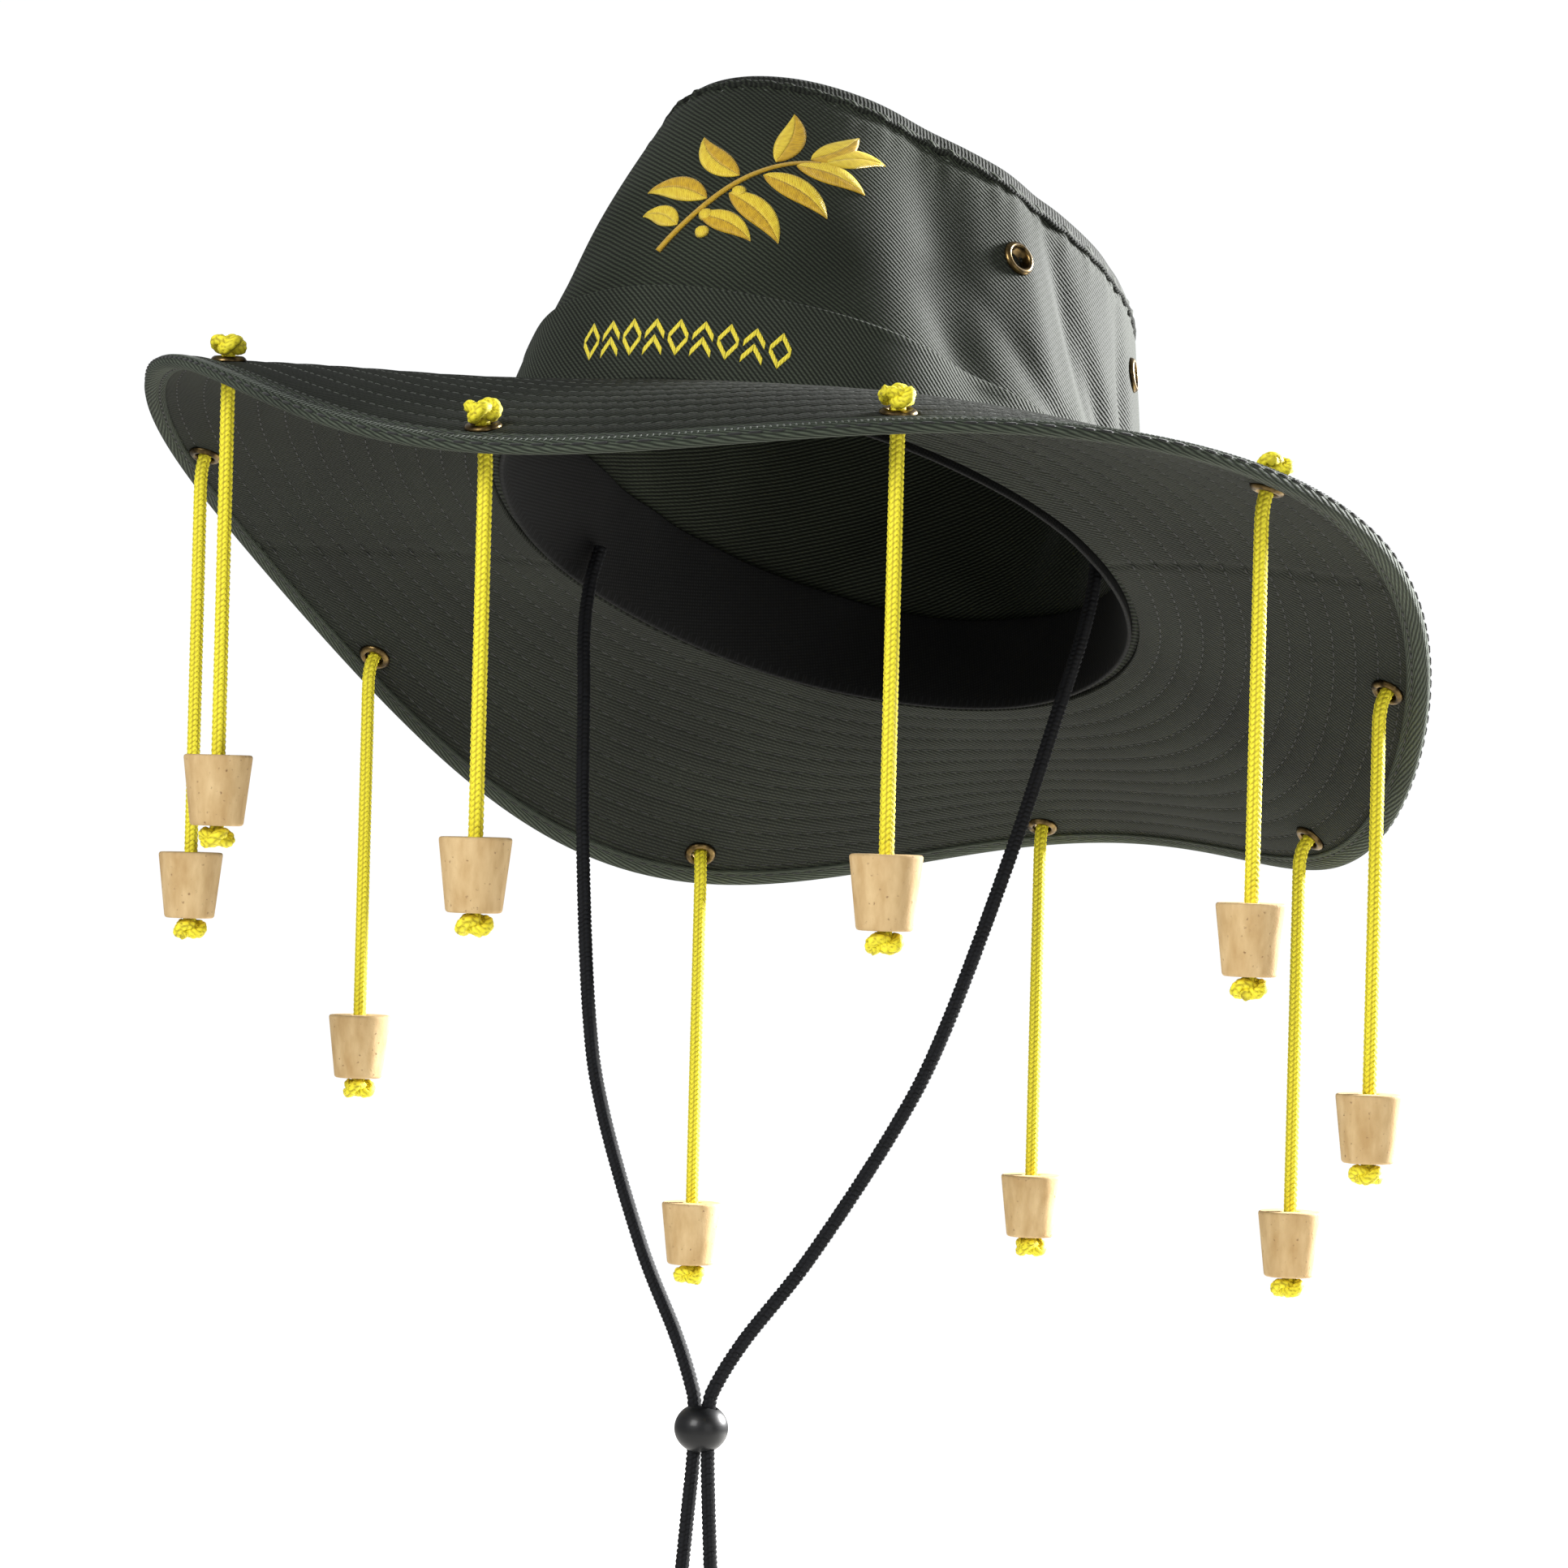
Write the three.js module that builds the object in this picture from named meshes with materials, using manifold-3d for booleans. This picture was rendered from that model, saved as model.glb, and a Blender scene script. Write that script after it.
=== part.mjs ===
// Bush hat of dark green cotton twill, as worn: tilted back on the head, with ten corks on
// yellow cords hanging from the brim and a black chin cord with a sliding bead.
// Millimetres, +Z up, the front faces -Y and +X is the wearer's left. The origin is the middle
// of the head opening, where the head holds the hat. Angles round the hat start at the front
// and grow towards the wearer's left.
import * as THREE from 'three';
import { mergeVertices } from 'three/addons/utils/BufferGeometryUtils.js';
import Module from 'manifold-3d';

const wasm = await Module();
wasm.setup();

// Driving dimensions
const TILT = THREE.MathUtils.degToRad(21.5); // how far the front is tipped up
const GAP = 0.3; // between pieces that touch
const STRIP_GAP = 0.5; // between the crown's wall and the strips that follow it
const CLOTH = 2; // two layers of twill with an interlining
const TURN_STEPS = 50; // facets round the hat

const OPENING = { halfWidth: 82, halfLength: 101 };
const TIP = {
  halfWidth: 62, halfLength: 92, back: 4.6, squareness: 1.85,
  height: 91.2, frontLift: -2.8, endLift: 4.2,
  dome: 8, creaseDepth: 7, creaseWidth: 13,
};
const WALL_BULGE = { front: 8.1, side: -0.7, back: 6.4 };
const PINCH = { angle: 36, height: 0.68, depth: 4, spread: 13, rise: 0.3 };
const BAND_LINES = { middle: 13, top: 26 }; // facet lines that the strips share with the wall
const BAND = { heights: [3.2, BAND_LINES.middle, BAND_LINES.top], thickness: 1.4 };
const SWEATBAND = { heights: [-1.8, BAND_LINES.middle, BAND_LINES.top], thickness: 1.2 };
const WALL_SHARES = [0.48, 0.66, 0.84, 1]; // the wall's facet lines above the band

const RIM = { halfWidth: 171.4, halfLength: 177.7, back: -3.3 };
// Height of the rim over the head opening, as waves round the brim
const RIM_HEIGHT = [
  { turns: 0, cos: -20.4, sin: 0 },
  { turns: 1, cos: -4.0, sin: -4.9 },
  { turns: 2, cos: -15.5, sin: -6.8 },
  { turns: 3, cos: -14.9, sin: 0.6 },
  { turns: 4, cos: 5.0, sin: -0.6 },
  { turns: 5, cos: -3.5, sin: 0 },
];
// How much the rim's reach grows or shrinks, as a share of the ellipse
const RIM_REACH = [
  { turns: 0, cos: 1, sin: 0 },
  { turns: 1, cos: 0, sin: -0.034 },
  { turns: 2, cos: 0, sin: 0.007 },
  { turns: 3, cos: -0.011, sin: 0.013 },
  { turns: 4, cos: 0.009, sin: 0 },
];
const BRIM_DROOP = 1.2; // above 1 the brim leaves the crown flat and drops towards the rim
const BRIM_ARCH = { height: 6, angle: 50, spread: 38, skew: 0.8 };
const TAPE = { thickness: 1, width: 5.5 };

const EYELET = { hole: 2.5, barrel: 3.1, flange: 4.5, flangeThickness: 0.7, clearance: 0.6 };
const CROWN_EYELETS = [
  { angle: 64, height: 0.75 },
  { angle: 110, height: 0.77 },
  { angle: -64, height: 0.75 },
  { angle: -110, height: 0.77 },
];
// Each cork's place round the brim, in degrees from the front, and how far its top hangs below
// its eyelet
const CORKS = [
  { angle: 1.3, hang: 94 }, { angle: 35.7, hang: 100.5 }, { angle: 71.7, hang: 100 },
  { angle: 109.4, hang: 103 }, { angle: 141.2, hang: 101 }, { angle: -178, hang: 100 },
  { angle: -144, hang: 100 }, { angle: -106.8, hang: 101 }, { angle: -76, hang: 107.3 },
  { angle: -37.6, hang: 96.5 },
];
const EYELET_INSET = 10.4; // from the rim to a brim eyelet's middle
const CORD = { radius: 1.75, sides: 8 };
// Where a cord turns from its eyelet's axis to hang straight down, from the eyelet's middle
const CORD_BEND = [{ along: -3.4, drop: 0 }, { along: -5.4, drop: 1.6 }, { along: -6, drop: 4.6 }];
const KNOT = { radius: 4.2, halfHeight: 3 };
const CORK = { bottomRadius: 6.6, topRadius: 8.65, height: 17.6, bore: 2.15, chamfer: 0.8 };

const CHIN_RADIUS = 1.8;
const CHIN_KNOT = { radius: 4, halfHeight: 3.4 };
const BEAD = { radius: 6.4, halfHeight: 5.1, bore: 2.15, y: -50.6, z: -222 };
const STRAND_OFFSET = 2.05; // the two strands lie side by side in the bead
// Route of the wearer's left strand, from the sweatband to its knot
const CHIN_ROUTE = [
  { x: 73.4, y: 14.4, z: 2.9 },
  { x: 74.2, y: 10.6, z: -7.3 },
  { x: 73.2, y: 6.5, z: -20 },
  { x: 70.0, y: 1.7, z: -37 },
  { x: 62.7, y: -9.5, z: -75 },
  { x: 51.8, y: -22.8, z: -120 },
  { x: 42.4, y: -30.6, z: -145 },
  { x: 24.5, y: -40.5, z: -178 },
  { x: 10.2, y: -47.0, z: -199 },
  { x: 3.6, y: -50.0, z: -211 },
  { x: STRAND_OFFSET, y: BEAD.y, z: -217 },
  { x: STRAND_OFFSET, y: BEAD.y, z: -229 },
  { x: 3.0, y: -51.0, z: -243 },
  { x: 4.6, y: -51.4, z: -264 },
];

const COLOURS = {
  twill: { color: 0x3b3f39, roughness: 0.9, metalness: 0 },
  tape: { color: 0x45494a, roughness: 0.85, metalness: 0 },
  sweatband: { color: 0x17181a, roughness: 0.8, metalness: 0 },
  brass: { color: 0x8a7a55, roughness: 0.35, metalness: 1 },
  cord: { color: 0xe8d93a, roughness: 0.7, metalness: 0 },
  cork: { color: 0xdcc196, roughness: 0.85, metalness: 0 },
  chinCord: { color: 0x232426, roughness: 0.7, metalness: 0 },
  bead: { color: 0x1d1e21, roughness: 0.25, metalness: 0 },
};

const UP = new THREE.Vector3(0, 0, 1);
const { degToRad } = THREE.MathUtils;

function waves(table, angle) {
  return table.reduce(
    (sum, row) => sum + row.cos * Math.cos(row.turns * angle) + row.sin * Math.sin(row.turns * angle),
    0,
  );
}

function bump(value, middle, spread) {
  return Math.exp(-(((value - middle) / spread) ** 2));
}

// Turns a point of the level hat into its place on the tilted one
function worn(point) {
  return point.clone().applyAxisAngle(new THREE.Vector3(1, 0, 0), -TILT);
}

// A point of the crown's side wall. share runs from 0 at the brim to 1 at the tip's seam.
function crownPoint(angle, share, inset = 0) {
  const sine = Math.sin(angle);
  const cosine = Math.cos(angle);
  const power = TIP.squareness;
  const corner = (Math.abs(sine) ** power + Math.abs(cosine) ** power) ** (-1 / power);
  const foot = new THREE.Vector2(OPENING.halfWidth * sine, -OPENING.halfLength * cosine);
  const top = new THREE.Vector2(
    TIP.halfWidth * sine * corner,
    TIP.back - TIP.halfLength * cosine * corner,
  );
  const outward = new THREE.Vector2(sine / OPENING.halfWidth, -cosine / OPENING.halfLength).normalize();
  const endBulge = cosine > 0 ? WALL_BULGE.front : WALL_BULGE.back;
  const bulge = endBulge * cosine ** 2 + WALL_BULGE.side * sine ** 2;
  const pinch = PINCH.depth
    * bump(THREE.MathUtils.radToDeg(Math.abs(angle)), PINCH.angle, PINCH.spread)
    * bump(share, PINCH.height, PINCH.rise);
  const reach = bulge * Math.sin(Math.PI * Math.max(share, 0)) - pinch - inset;
  const plan = foot.lerp(top, share).addScaledVector(outward, reach);
  return new THREE.Vector3(plan.x, plan.y, crownHeight(angle) * share);
}

function crownHeight(angle) {
  return TIP.height + TIP.frontLift * Math.cos(angle) + TIP.endLift * Math.cos(2 * angle);
}

// A point of the tip panel's underside. spread runs from 0 in the middle to 1 at the seam.
function tipPoint(angle, spread, lift = 0) {
  const edge = crownPoint(angle, 1);
  const x = edge.x * spread;
  const y = TIP.back + (edge.y - TIP.back) * spread;
  const dome = TIP.dome * (1 - spread ** 4);
  const crease = TIP.creaseDepth * bump(x, 0, TIP.creaseWidth) * (1 - spread ** 2);
  const z = THREE.MathUtils.lerp(TIP.height, edge.z, spread ** 2) + dome - crease;
  return new THREE.Vector3(x, y, z + lift);
}

// The brim's middle surface. share runs from 0 at the crown to 1 at the rim.
function brimMiddle(angle, share) {
  const sine = Math.sin(angle);
  const cosine = Math.cos(angle);
  const reach = waves(RIM_REACH, angle);
  const inner = new THREE.Vector2(OPENING.halfWidth * sine, -OPENING.halfLength * cosine);
  const outer = new THREE.Vector2(
    RIM.halfWidth * reach * sine,
    RIM.back - RIM.halfLength * reach * cosine,
  );
  const plan = inner.lerp(outer, share);
  const out = Math.max(share, 0);
  const side = bump(THREE.MathUtils.radToDeg(Math.abs(angle)), BRIM_ARCH.angle, BRIM_ARCH.spread);
  const arch = BRIM_ARCH.height * side * Math.sin(Math.PI * Math.min(out, 1) ** BRIM_ARCH.skew);
  return new THREE.Vector3(plan.x, plan.y, waves(RIM_HEIGHT, angle) * out ** BRIM_DROOP + arch);
}

function brimNormal(angle, share) {
  const step = 0.01;
  const around = brimMiddle(angle + step, share).sub(brimMiddle(angle - step, share));
  const outward = brimMiddle(angle, share + step).sub(brimMiddle(angle, share - step));
  return outward.cross(around).normalize();
}

function brimWidth(angle) {
  return brimMiddle(angle, 1).setZ(0).distanceTo(brimMiddle(angle, 0).setZ(0));
}

// A point of the brim, lifted off its middle surface, inset millimetres from the rim
function brimPoint(angle, inset, lift = 0) {
  const share = 1 - inset / brimWidth(angle);
  return brimMiddle(angle, share).addScaledVector(brimNormal(angle, Math.min(share, 0.99)), lift);
}

// Joins rings of points into one closed body. Each ring is a function of the angle. Without
// poles the last ring joins the first; with poles the two ends close onto points.
function loft(rings, poles = null) {
  const positions = [];
  const faces = [];
  const wrap = (ring, step) => ring * TURN_STEPS + (step % TURN_STEPS);
  for (const ring of rings) {
    for (let step = 0; step < TURN_STEPS; step += 1) {
      const turn = (2 * Math.PI * step) / TURN_STEPS;
      positions.push(...ring(turn > Math.PI ? turn - 2 * Math.PI : turn).toArray());
    }
  }
  const bands = poles ? rings.length - 1 : rings.length;
  for (let ring = 0; ring < bands; ring += 1) {
    const next = (ring + 1) % rings.length;
    for (let step = 0; step < TURN_STEPS; step += 1) {
      faces.push(wrap(ring, step), wrap(ring, step + 1), wrap(next, step + 1));
      faces.push(wrap(ring, step), wrap(next, step + 1), wrap(next, step));
    }
  }
  if (poles) {
    const first = positions.length / 3;
    const last = rings.length - 1;
    positions.push(...poles[0].toArray(), ...poles[1].toArray());
    for (let step = 0; step < TURN_STEPS; step += 1) {
      faces.push(first, wrap(0, step + 1), wrap(0, step));
      faces.push(first + 1, wrap(last, step), wrap(last, step + 1));
    }
  }
  const geometry = new THREE.BufferGeometry();
  geometry.setAttribute('position', new THREE.Float32BufferAttribute(positions, 3));
  geometry.setIndex(faces);
  return geometry;
}

function toSolid(geometry) {
  const bare = geometry.clone();
  bare.deleteAttribute('normal');
  bare.deleteAttribute('uv');
  const merged = mergeVertices(bare, 1e-4);
  return new wasm.Manifold(new wasm.Mesh({
    numProp: 3,
    vertProperties: Float32Array.from(merged.attributes.position.array),
    triVerts: Uint32Array.from(merged.index.array),
  }));
}

function toGeometry(solid) {
  const mesh = solid.getMesh();
  const geometry = new THREE.BufferGeometry();
  geometry.setAttribute('position', new THREE.BufferAttribute(mesh.vertProperties, 3));
  geometry.setIndex(new THREE.BufferAttribute(mesh.triVerts, 1));
  return geometry;
}

// Cuts a round hole through a cloth wall at each seat
function punch(geometry, seats) {
  const depth = 12;
  let solid = toSolid(geometry);
  for (const seat of seats) {
    const hole = new THREE.CylinderGeometry(EYELET.barrel + GAP, EYELET.barrel + GAP, depth, 8);
    hole.rotateX(Math.PI / 2);
    hole.applyQuaternion(facing(seat.normal));
    hole.translate(...seat.point.toArray());
    solid = solid.subtract(toSolid(hole));
  }
  return toGeometry(solid);
}

function facing(normal) {
  return new THREE.Quaternion().setFromUnitVectors(UP, normal);
}

function addPart(parent, name, geometry, colour) {
  const shaded = geometry.index ? geometry.toNonIndexed() : geometry;
  shaded.computeVertexNormals();
  const mesh = new THREE.Mesh(shaded, new THREE.MeshStandardMaterial(COLOURS[colour]));
  mesh.name = name;
  parent.add(mesh);
  return mesh;
}

function crownSeat({ angle, height }) {
  const turn = degToRad(angle);
  const step = 0.02;
  const around = crownPoint(turn + step, height).sub(crownPoint(turn - step, height));
  const upward = crownPoint(turn, height + step).sub(crownPoint(turn, height - step));
  return { point: crownPoint(turn, height, CLOTH / 2), normal: around.cross(upward).normalize() };
}

// A seat between two turn steps of the brim lies on the flat facet between them
function brimSeat({ angle }) {
  const step = 360 / TURN_STEPS;
  const before = Math.floor(angle / step) * step;
  const share = (angle - before) / step;
  const [low, high] = [before, before + step].map((degrees) => {
    const turn = degToRad(degrees);
    const out = 1 - EYELET_INSET / brimWidth(turn);
    return { point: brimPoint(turn, EYELET_INSET), normal: brimNormal(turn, out) };
  });
  return {
    point: low.point.lerp(high.point, share),
    normal: low.normal.lerp(high.normal, share).normalize(),
  };
}

// The side wall, its two faces joined by the foot and the top edge
function crownWall() {
  const heights = [CLOTH / 2 + GAP, BAND_LINES.middle, BAND_LINES.top];
  const face = (inset) => [
    ...heights.map((height) => (angle) => crownPoint(angle, height / crownHeight(angle), inset)),
    ...WALL_SHARES.map((share) => (angle) => crownPoint(angle, share, inset)),
  ];
  return loft([...face(0), ...face(CLOTH).reverse()]);
}

function crownTip() {
  const spreads = [0.24, 0.56, 0.86, 1];
  const poleUnder = tipPoint(0, 0, GAP);
  const poleOver = tipPoint(0, 0, GAP + CLOTH);
  return loft([
    ...spreads.map((spread) => (angle) => tipPoint(angle, spread, GAP)),
    ...spreads.reverse().map((spread) => (angle) => tipPoint(angle, spread, GAP + CLOTH)),
  ], [poleUnder, poleOver]);
}

// A strip that follows the crown's wall through some heights, between two insets
function wallStrip(heights, outerInset, innerInset) {
  const at = (height, inset) => (angle) => crownPoint(angle, height / crownHeight(angle), inset);
  return loft([
    ...heights.map((height) => at(height, outerInset)),
    ...[...heights].reverse().map((height) => at(height, innerInset)),
  ]);
}

function brim() {
  const edge = TAPE.thickness + GAP;
  const shares = [0, 0.28, 0.62];
  const half = CLOTH / 2;
  const face = (lift) => [
    (angle) => brimPoint(angle, brimWidth(angle) + CLOTH, lift),
    ...shares.map((share) => (angle) => brimPoint(angle, (1 - share) * brimWidth(angle), lift)),
    (angle) => brimPoint(angle, TAPE.width, lift),
    (angle) => brimPoint(angle, edge, lift),
  ];
  return loft([...face(-half), ...face(half).reverse()]);
}

// Folded tape round the rim: a U that holds the brim's edge
function binding() {
  const inside = CLOTH / 2 + GAP;
  const outside = inside + TAPE.thickness;
  const corner = TAPE.thickness;
  const section = [
    { inset: TAPE.width, lift: -outside },
    { inset: corner, lift: -outside },
    { inset: 0, lift: -inside },
    { inset: 0, lift: inside },
    { inset: corner, lift: outside },
    { inset: TAPE.width, lift: outside },
    { inset: TAPE.width, lift: inside },
    { inset: TAPE.thickness, lift: inside },
    { inset: TAPE.thickness, lift: -inside },
    { inset: TAPE.width, lift: -inside },
  ];
  return loft(section.map(({ inset, lift }) => (angle) => brimPoint(angle, inset, lift)));
}

// A rolled brass eyelet, its axis along Z, with a flange over each face of the cloth
function eyelet() {
  const inner = CLOTH / 2 + EYELET.clearance;
  const outer = inner + EYELET.flangeThickness;
  const profile = [
    [EYELET.hole, -outer], [EYELET.flange, -outer], [EYELET.flange, -inner], [EYELET.barrel, -inner],
    [EYELET.barrel, inner], [EYELET.flange, inner], [EYELET.flange, outer], [EYELET.hole, outer],
    [EYELET.hole, -outer],
  ];
  const points = profile.map(([radius, height]) => new THREE.Vector2(radius, height));
  return new THREE.LatheGeometry(points, 8).rotateX(Math.PI / 2);
}

function addEyelet(parent, name, seat) {
  const mesh = addPart(parent, name, eyelet(), 'brass');
  mesh.position.copy(seat.point);
  mesh.quaternion.copy(facing(seat.normal));
}

// A tapered cork, bored along Z, wide end up, its small end at z = 0
function cork() {
  const { bottomRadius, topRadius, height, bore, chamfer } = CORK;
  const profile = [
    [bore, 0], [bottomRadius - chamfer, 0], [bottomRadius, chamfer],
    [topRadius, height], [bore, height], [bore, 0],
  ];
  const points = profile.map(([radius, z]) => new THREE.Vector2(radius, z));
  return new THREE.LatheGeometry(points, 10).rotateX(Math.PI / 2);
}

// A route whose tube has one section at each of its points
class StationCurve extends THREE.CatmullRomCurve3 {
  getPointAt(share, target) {
    return this.getPoint(share, target);
  }

  getTangentAt(share, target) {
    return this.getTangent(share, target);
  }
}

function tube(points, radius) {
  const section = new THREE.Shape();
  for (let side = 0; side < CORD.sides; side += 1) {
    const turn = (2 * Math.PI * side) / CORD.sides;
    const corner = [radius * Math.cos(turn), radius * Math.sin(turn)];
    if (side === 0) section.moveTo(...corner);
    else section.lineTo(...corner);
  }
  section.closePath();
  return new THREE.ExtrudeGeometry(section, {
    steps: points.length - 1, curveSegments: 1, bevelEnabled: false, extrudePath: new StationCurve(points),
  });
}

function knot(centre, axis, size) {
  const ball = new THREE.SphereGeometry(1, 6, 4).rotateX(Math.PI / 2);
  ball.scale(size.radius, size.radius, size.halfHeight);
  ball.applyQuaternion(facing(axis));
  return ball.translate(...centre.toArray());
}

// How far a knot's middle stands from the round edge that it sits on
function knotSeat(size, hole) {
  return size.halfHeight * Math.sqrt(1 - (hole / size.radius) ** 2) + GAP;
}

// The cord of one cork: from the knot on the brim through the eyelet, then straight down
// through the cork to the knot that carries it
function addCorkCord(parent, index) {
  const { hang } = CORKS[index];
  const seat = brimSeats[index];
  const point = worn(seat.point);
  const normal = worn(seat.normal);
  const flange = CLOTH / 2 + EYELET.clearance + EYELET.flangeThickness;
  const off = (along, drop) => point.clone().addScaledVector(normal, along).addScaledVector(UP, -drop);
  const topKnot = off(flange + knotSeat(KNOT, EYELET.hole), 0);
  const bend = CORD_BEND.map(({ along, drop }) => off(along, drop));
  const start = bend[bend.length - 1];
  const corkTop = point.z - hang;
  const corkFoot = corkTop - CORK.height;
  const endKnot = start.clone().setZ(corkFoot - knotSeat(KNOT, CORK.bore));
  const route = [topKnot, ...bend, start.clone().setZ(corkTop), endKnot];
  const cord = toSolid(tube(route, CORD.radius))
    .add(toSolid(knot(topKnot, normal, KNOT)))
    .add(toSolid(knot(endKnot, UP, KNOT)));
  addPart(parent, `cork_cord_${index + 1}`, toGeometry(cord), 'cord');
  const corkMesh = addPart(parent, `cork_${index + 1}`, cork(), 'cork');
  corkMesh.position.set(start.x, start.y, corkFoot);
}

function addChinStrand(parent, name, side) {
  const route = CHIN_ROUTE.map(({ x, y, z }) => new THREE.Vector3(side * x, y, z));
  const end = route[route.length - 1];
  const strand = toSolid(tube(route, CHIN_RADIUS)).add(toSolid(knot(end, UP, CHIN_KNOT)));
  addPart(parent, name, toGeometry(strand), 'chinCord');
}

// The bead, bored with two holes that run into one slot
function chinBead() {
  const ball = new THREE.SphereGeometry(1, 12, 7).rotateX(Math.PI / 2);
  ball.scale(BEAD.radius, BEAD.radius, BEAD.halfHeight);
  let solid = toSolid(ball);
  for (const side of [-1, 1]) {
    const bore = new THREE.CylinderGeometry(BEAD.bore, BEAD.bore, 4 * BEAD.halfHeight, 8);
    solid = solid.subtract(toSolid(bore.rotateX(Math.PI / 2).translate(side * STRAND_OFFSET, 0, 0)));
  }
  return toGeometry(solid);
}

const hat = new THREE.Group();
hat.rotation.x = -TILT;
const crownSeats = CROWN_EYELETS.map(crownSeat);
const brimSeats = CORKS.map(brimSeat);
addPart(hat, 'crown_wall', punch(crownWall(), crownSeats), 'twill');
addPart(hat, 'crown_tip', crownTip(), 'twill');
addPart(hat, 'hat_band', wallStrip(BAND.heights, -STRIP_GAP - BAND.thickness, -STRIP_GAP), 'twill');
addPart(hat, 'brim', punch(brim(), brimSeats), 'twill');
addPart(hat, 'brim_binding', binding(), 'tape');
const lining = CLOTH + STRIP_GAP;
addPart(hat, 'sweatband', wallStrip(SWEATBAND.heights, lining, lining + SWEATBAND.thickness), 'sweatband');
crownSeats.forEach((seat, index) => addEyelet(hat, `crown_eyelet_${index + 1}`, seat));
brimSeats.forEach((seat, index) => addEyelet(hat, `brim_eyelet_${index + 1}`, seat));

const hanging = new THREE.Group();
CORKS.forEach((_, index) => addCorkCord(hanging, index));
addChinStrand(hanging, 'chin_cord_left', 1);
addChinStrand(hanging, 'chin_cord_right', -1);
addPart(hanging, 'chin_bead', chinBead(), 'bead').position.set(0, BEAD.y, BEAD.z);

const group = new THREE.Group();
group.add(hat, hanging);

export default group;
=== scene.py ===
"""Bush hat in dark green twill, with corks on yellow cords: the looks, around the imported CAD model."""
import functools
import math
import random
from math import cos, pi, radians, sin

import bmesh
import bpy
from mathutils import Matrix, Quaternion, Vector


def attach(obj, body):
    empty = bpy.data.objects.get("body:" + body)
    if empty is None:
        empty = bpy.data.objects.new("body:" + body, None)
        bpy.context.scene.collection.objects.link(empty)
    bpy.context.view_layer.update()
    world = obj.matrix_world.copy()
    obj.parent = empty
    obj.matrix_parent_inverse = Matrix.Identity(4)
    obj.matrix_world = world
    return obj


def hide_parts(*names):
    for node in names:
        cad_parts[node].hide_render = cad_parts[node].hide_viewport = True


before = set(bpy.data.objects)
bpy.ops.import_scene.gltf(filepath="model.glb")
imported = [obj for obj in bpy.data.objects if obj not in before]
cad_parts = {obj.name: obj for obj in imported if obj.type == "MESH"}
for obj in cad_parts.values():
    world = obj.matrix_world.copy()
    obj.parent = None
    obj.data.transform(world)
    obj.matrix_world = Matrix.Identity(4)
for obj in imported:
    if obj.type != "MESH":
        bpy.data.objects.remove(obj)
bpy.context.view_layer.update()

MM = 0.001
UP = Vector((0, 0, 1))
TILT = radians(21.5)
WEAR = Matrix.Rotation(-TILT, 4, "X")  # the level hat to the hat as worn

# The hat's driving sizes, in millimetres, as in the part's source
CLOTH = 2.0
OPENING_X, OPENING_Y = 82.0, 101.0
TIP_X, TIP_Y, TIP_BACK, TIP_POWER = 62.0, 92.0, 4.6, 1.85
TIP_HEIGHT, TIP_FRONT_LIFT, TIP_END_LIFT = 91.2, -2.8, 4.2
BULGE_FRONT, BULGE_SIDE, BULGE_BACK = 8.1, -0.7, 6.4
RIM_X, RIM_Y, RIM_BACK = 171.4, 177.7, -3.3
# turns round the brim, cosine part, sine part
RIM_HEIGHT = [
    (0, -20.4, 0), (1, -4.0, -4.9), (2, -15.5, -6.8), (3, -14.9, 0.6), (4, 5.0, -0.6), (5, -3.5, 0),
]
RIM_REACH = [(0, 1, 0), (1, 0, -0.034), (2, 0, 0.007), (3, -0.011, 0.013), (4, 0.009, 0)]
BRIM_DROOP = 1.2
ARCH_HEIGHT, ARCH_ANGLE, ARCH_SPREAD, ARCH_SKEW = 6.0, 50.0, 38.0, 0.8
EYELET_INSET = 10.4
# each cork's degrees round the brim from the front, and how far its top hangs under the eyelet
CORKS = [
    (1.3, 94), (35.7, 100.5), (71.7, 100), (109.4, 103), (141.2, 101), (-178, 100), (-144, 100),
    (-106.8, 101), (-76, 107.3), (-37.6, 96.5),
]
CROWN_EYELETS = [(64, 0.75), (110, 0.77), (-64, 0.75), (-110, 0.77)]  # angle, share of the wall


def new_object(name, data):
    made = bpy.data.objects.new(name, data)
    bpy.context.scene.collection.objects.link(made)
    return made


# Camera

PHOTO_SIZE = 1932
CAMERA_AZIMUTH = radians(28.0)
CAMERA_DISTANCE = 1.4385
CAMERA_RIGHT, CAMERA_UP = -0.00715, -0.0593  # from the hat's origin, across and up the view
CAMERA_ROLL = radians(1.5)
FOCAL_PIXELS = 6818
SENSOR_MM = 36.0


def make_camera():
    right = Vector((cos(CAMERA_AZIMUTH), sin(CAMERA_AZIMUTH), 0))
    forward = Vector((-sin(CAMERA_AZIMUTH), cos(CAMERA_AZIMUTH), 0))
    data = bpy.data.cameras.new("camera")
    data.sensor_width = SENSOR_MM
    data.lens = SENSOR_MM * FOCAL_PIXELS / PHOTO_SIZE
    camera = new_object("camera", data)
    place = right * CAMERA_RIGHT + UP * CAMERA_UP - forward * CAMERA_DISTANCE
    level = Matrix((right, UP, -forward)).transposed()
    roll = Matrix.Rotation(CAMERA_ROLL, 3, "Z")
    camera.matrix_world = Matrix.Translation(place) @ (level @ roll).to_4x4()
    bpy.context.scene.camera = camera


make_camera()


# The hat's surfaces. Angles start at the front and grow towards the wearer's left.

def waves(table, angle):
    return sum(c * cos(n * angle) + s * sin(n * angle) for n, c, s in table)


def bump(value, middle, spread):
    return math.exp(-((value - middle) / spread) ** 2)


def smooth(value):
    value = min(max(value, 0.0), 1.0)
    return value * value * (3 - 2 * value)


def crown_height(angle):
    return TIP_HEIGHT + TIP_FRONT_LIFT * cos(angle) + TIP_END_LIFT * cos(2 * angle)


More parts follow.
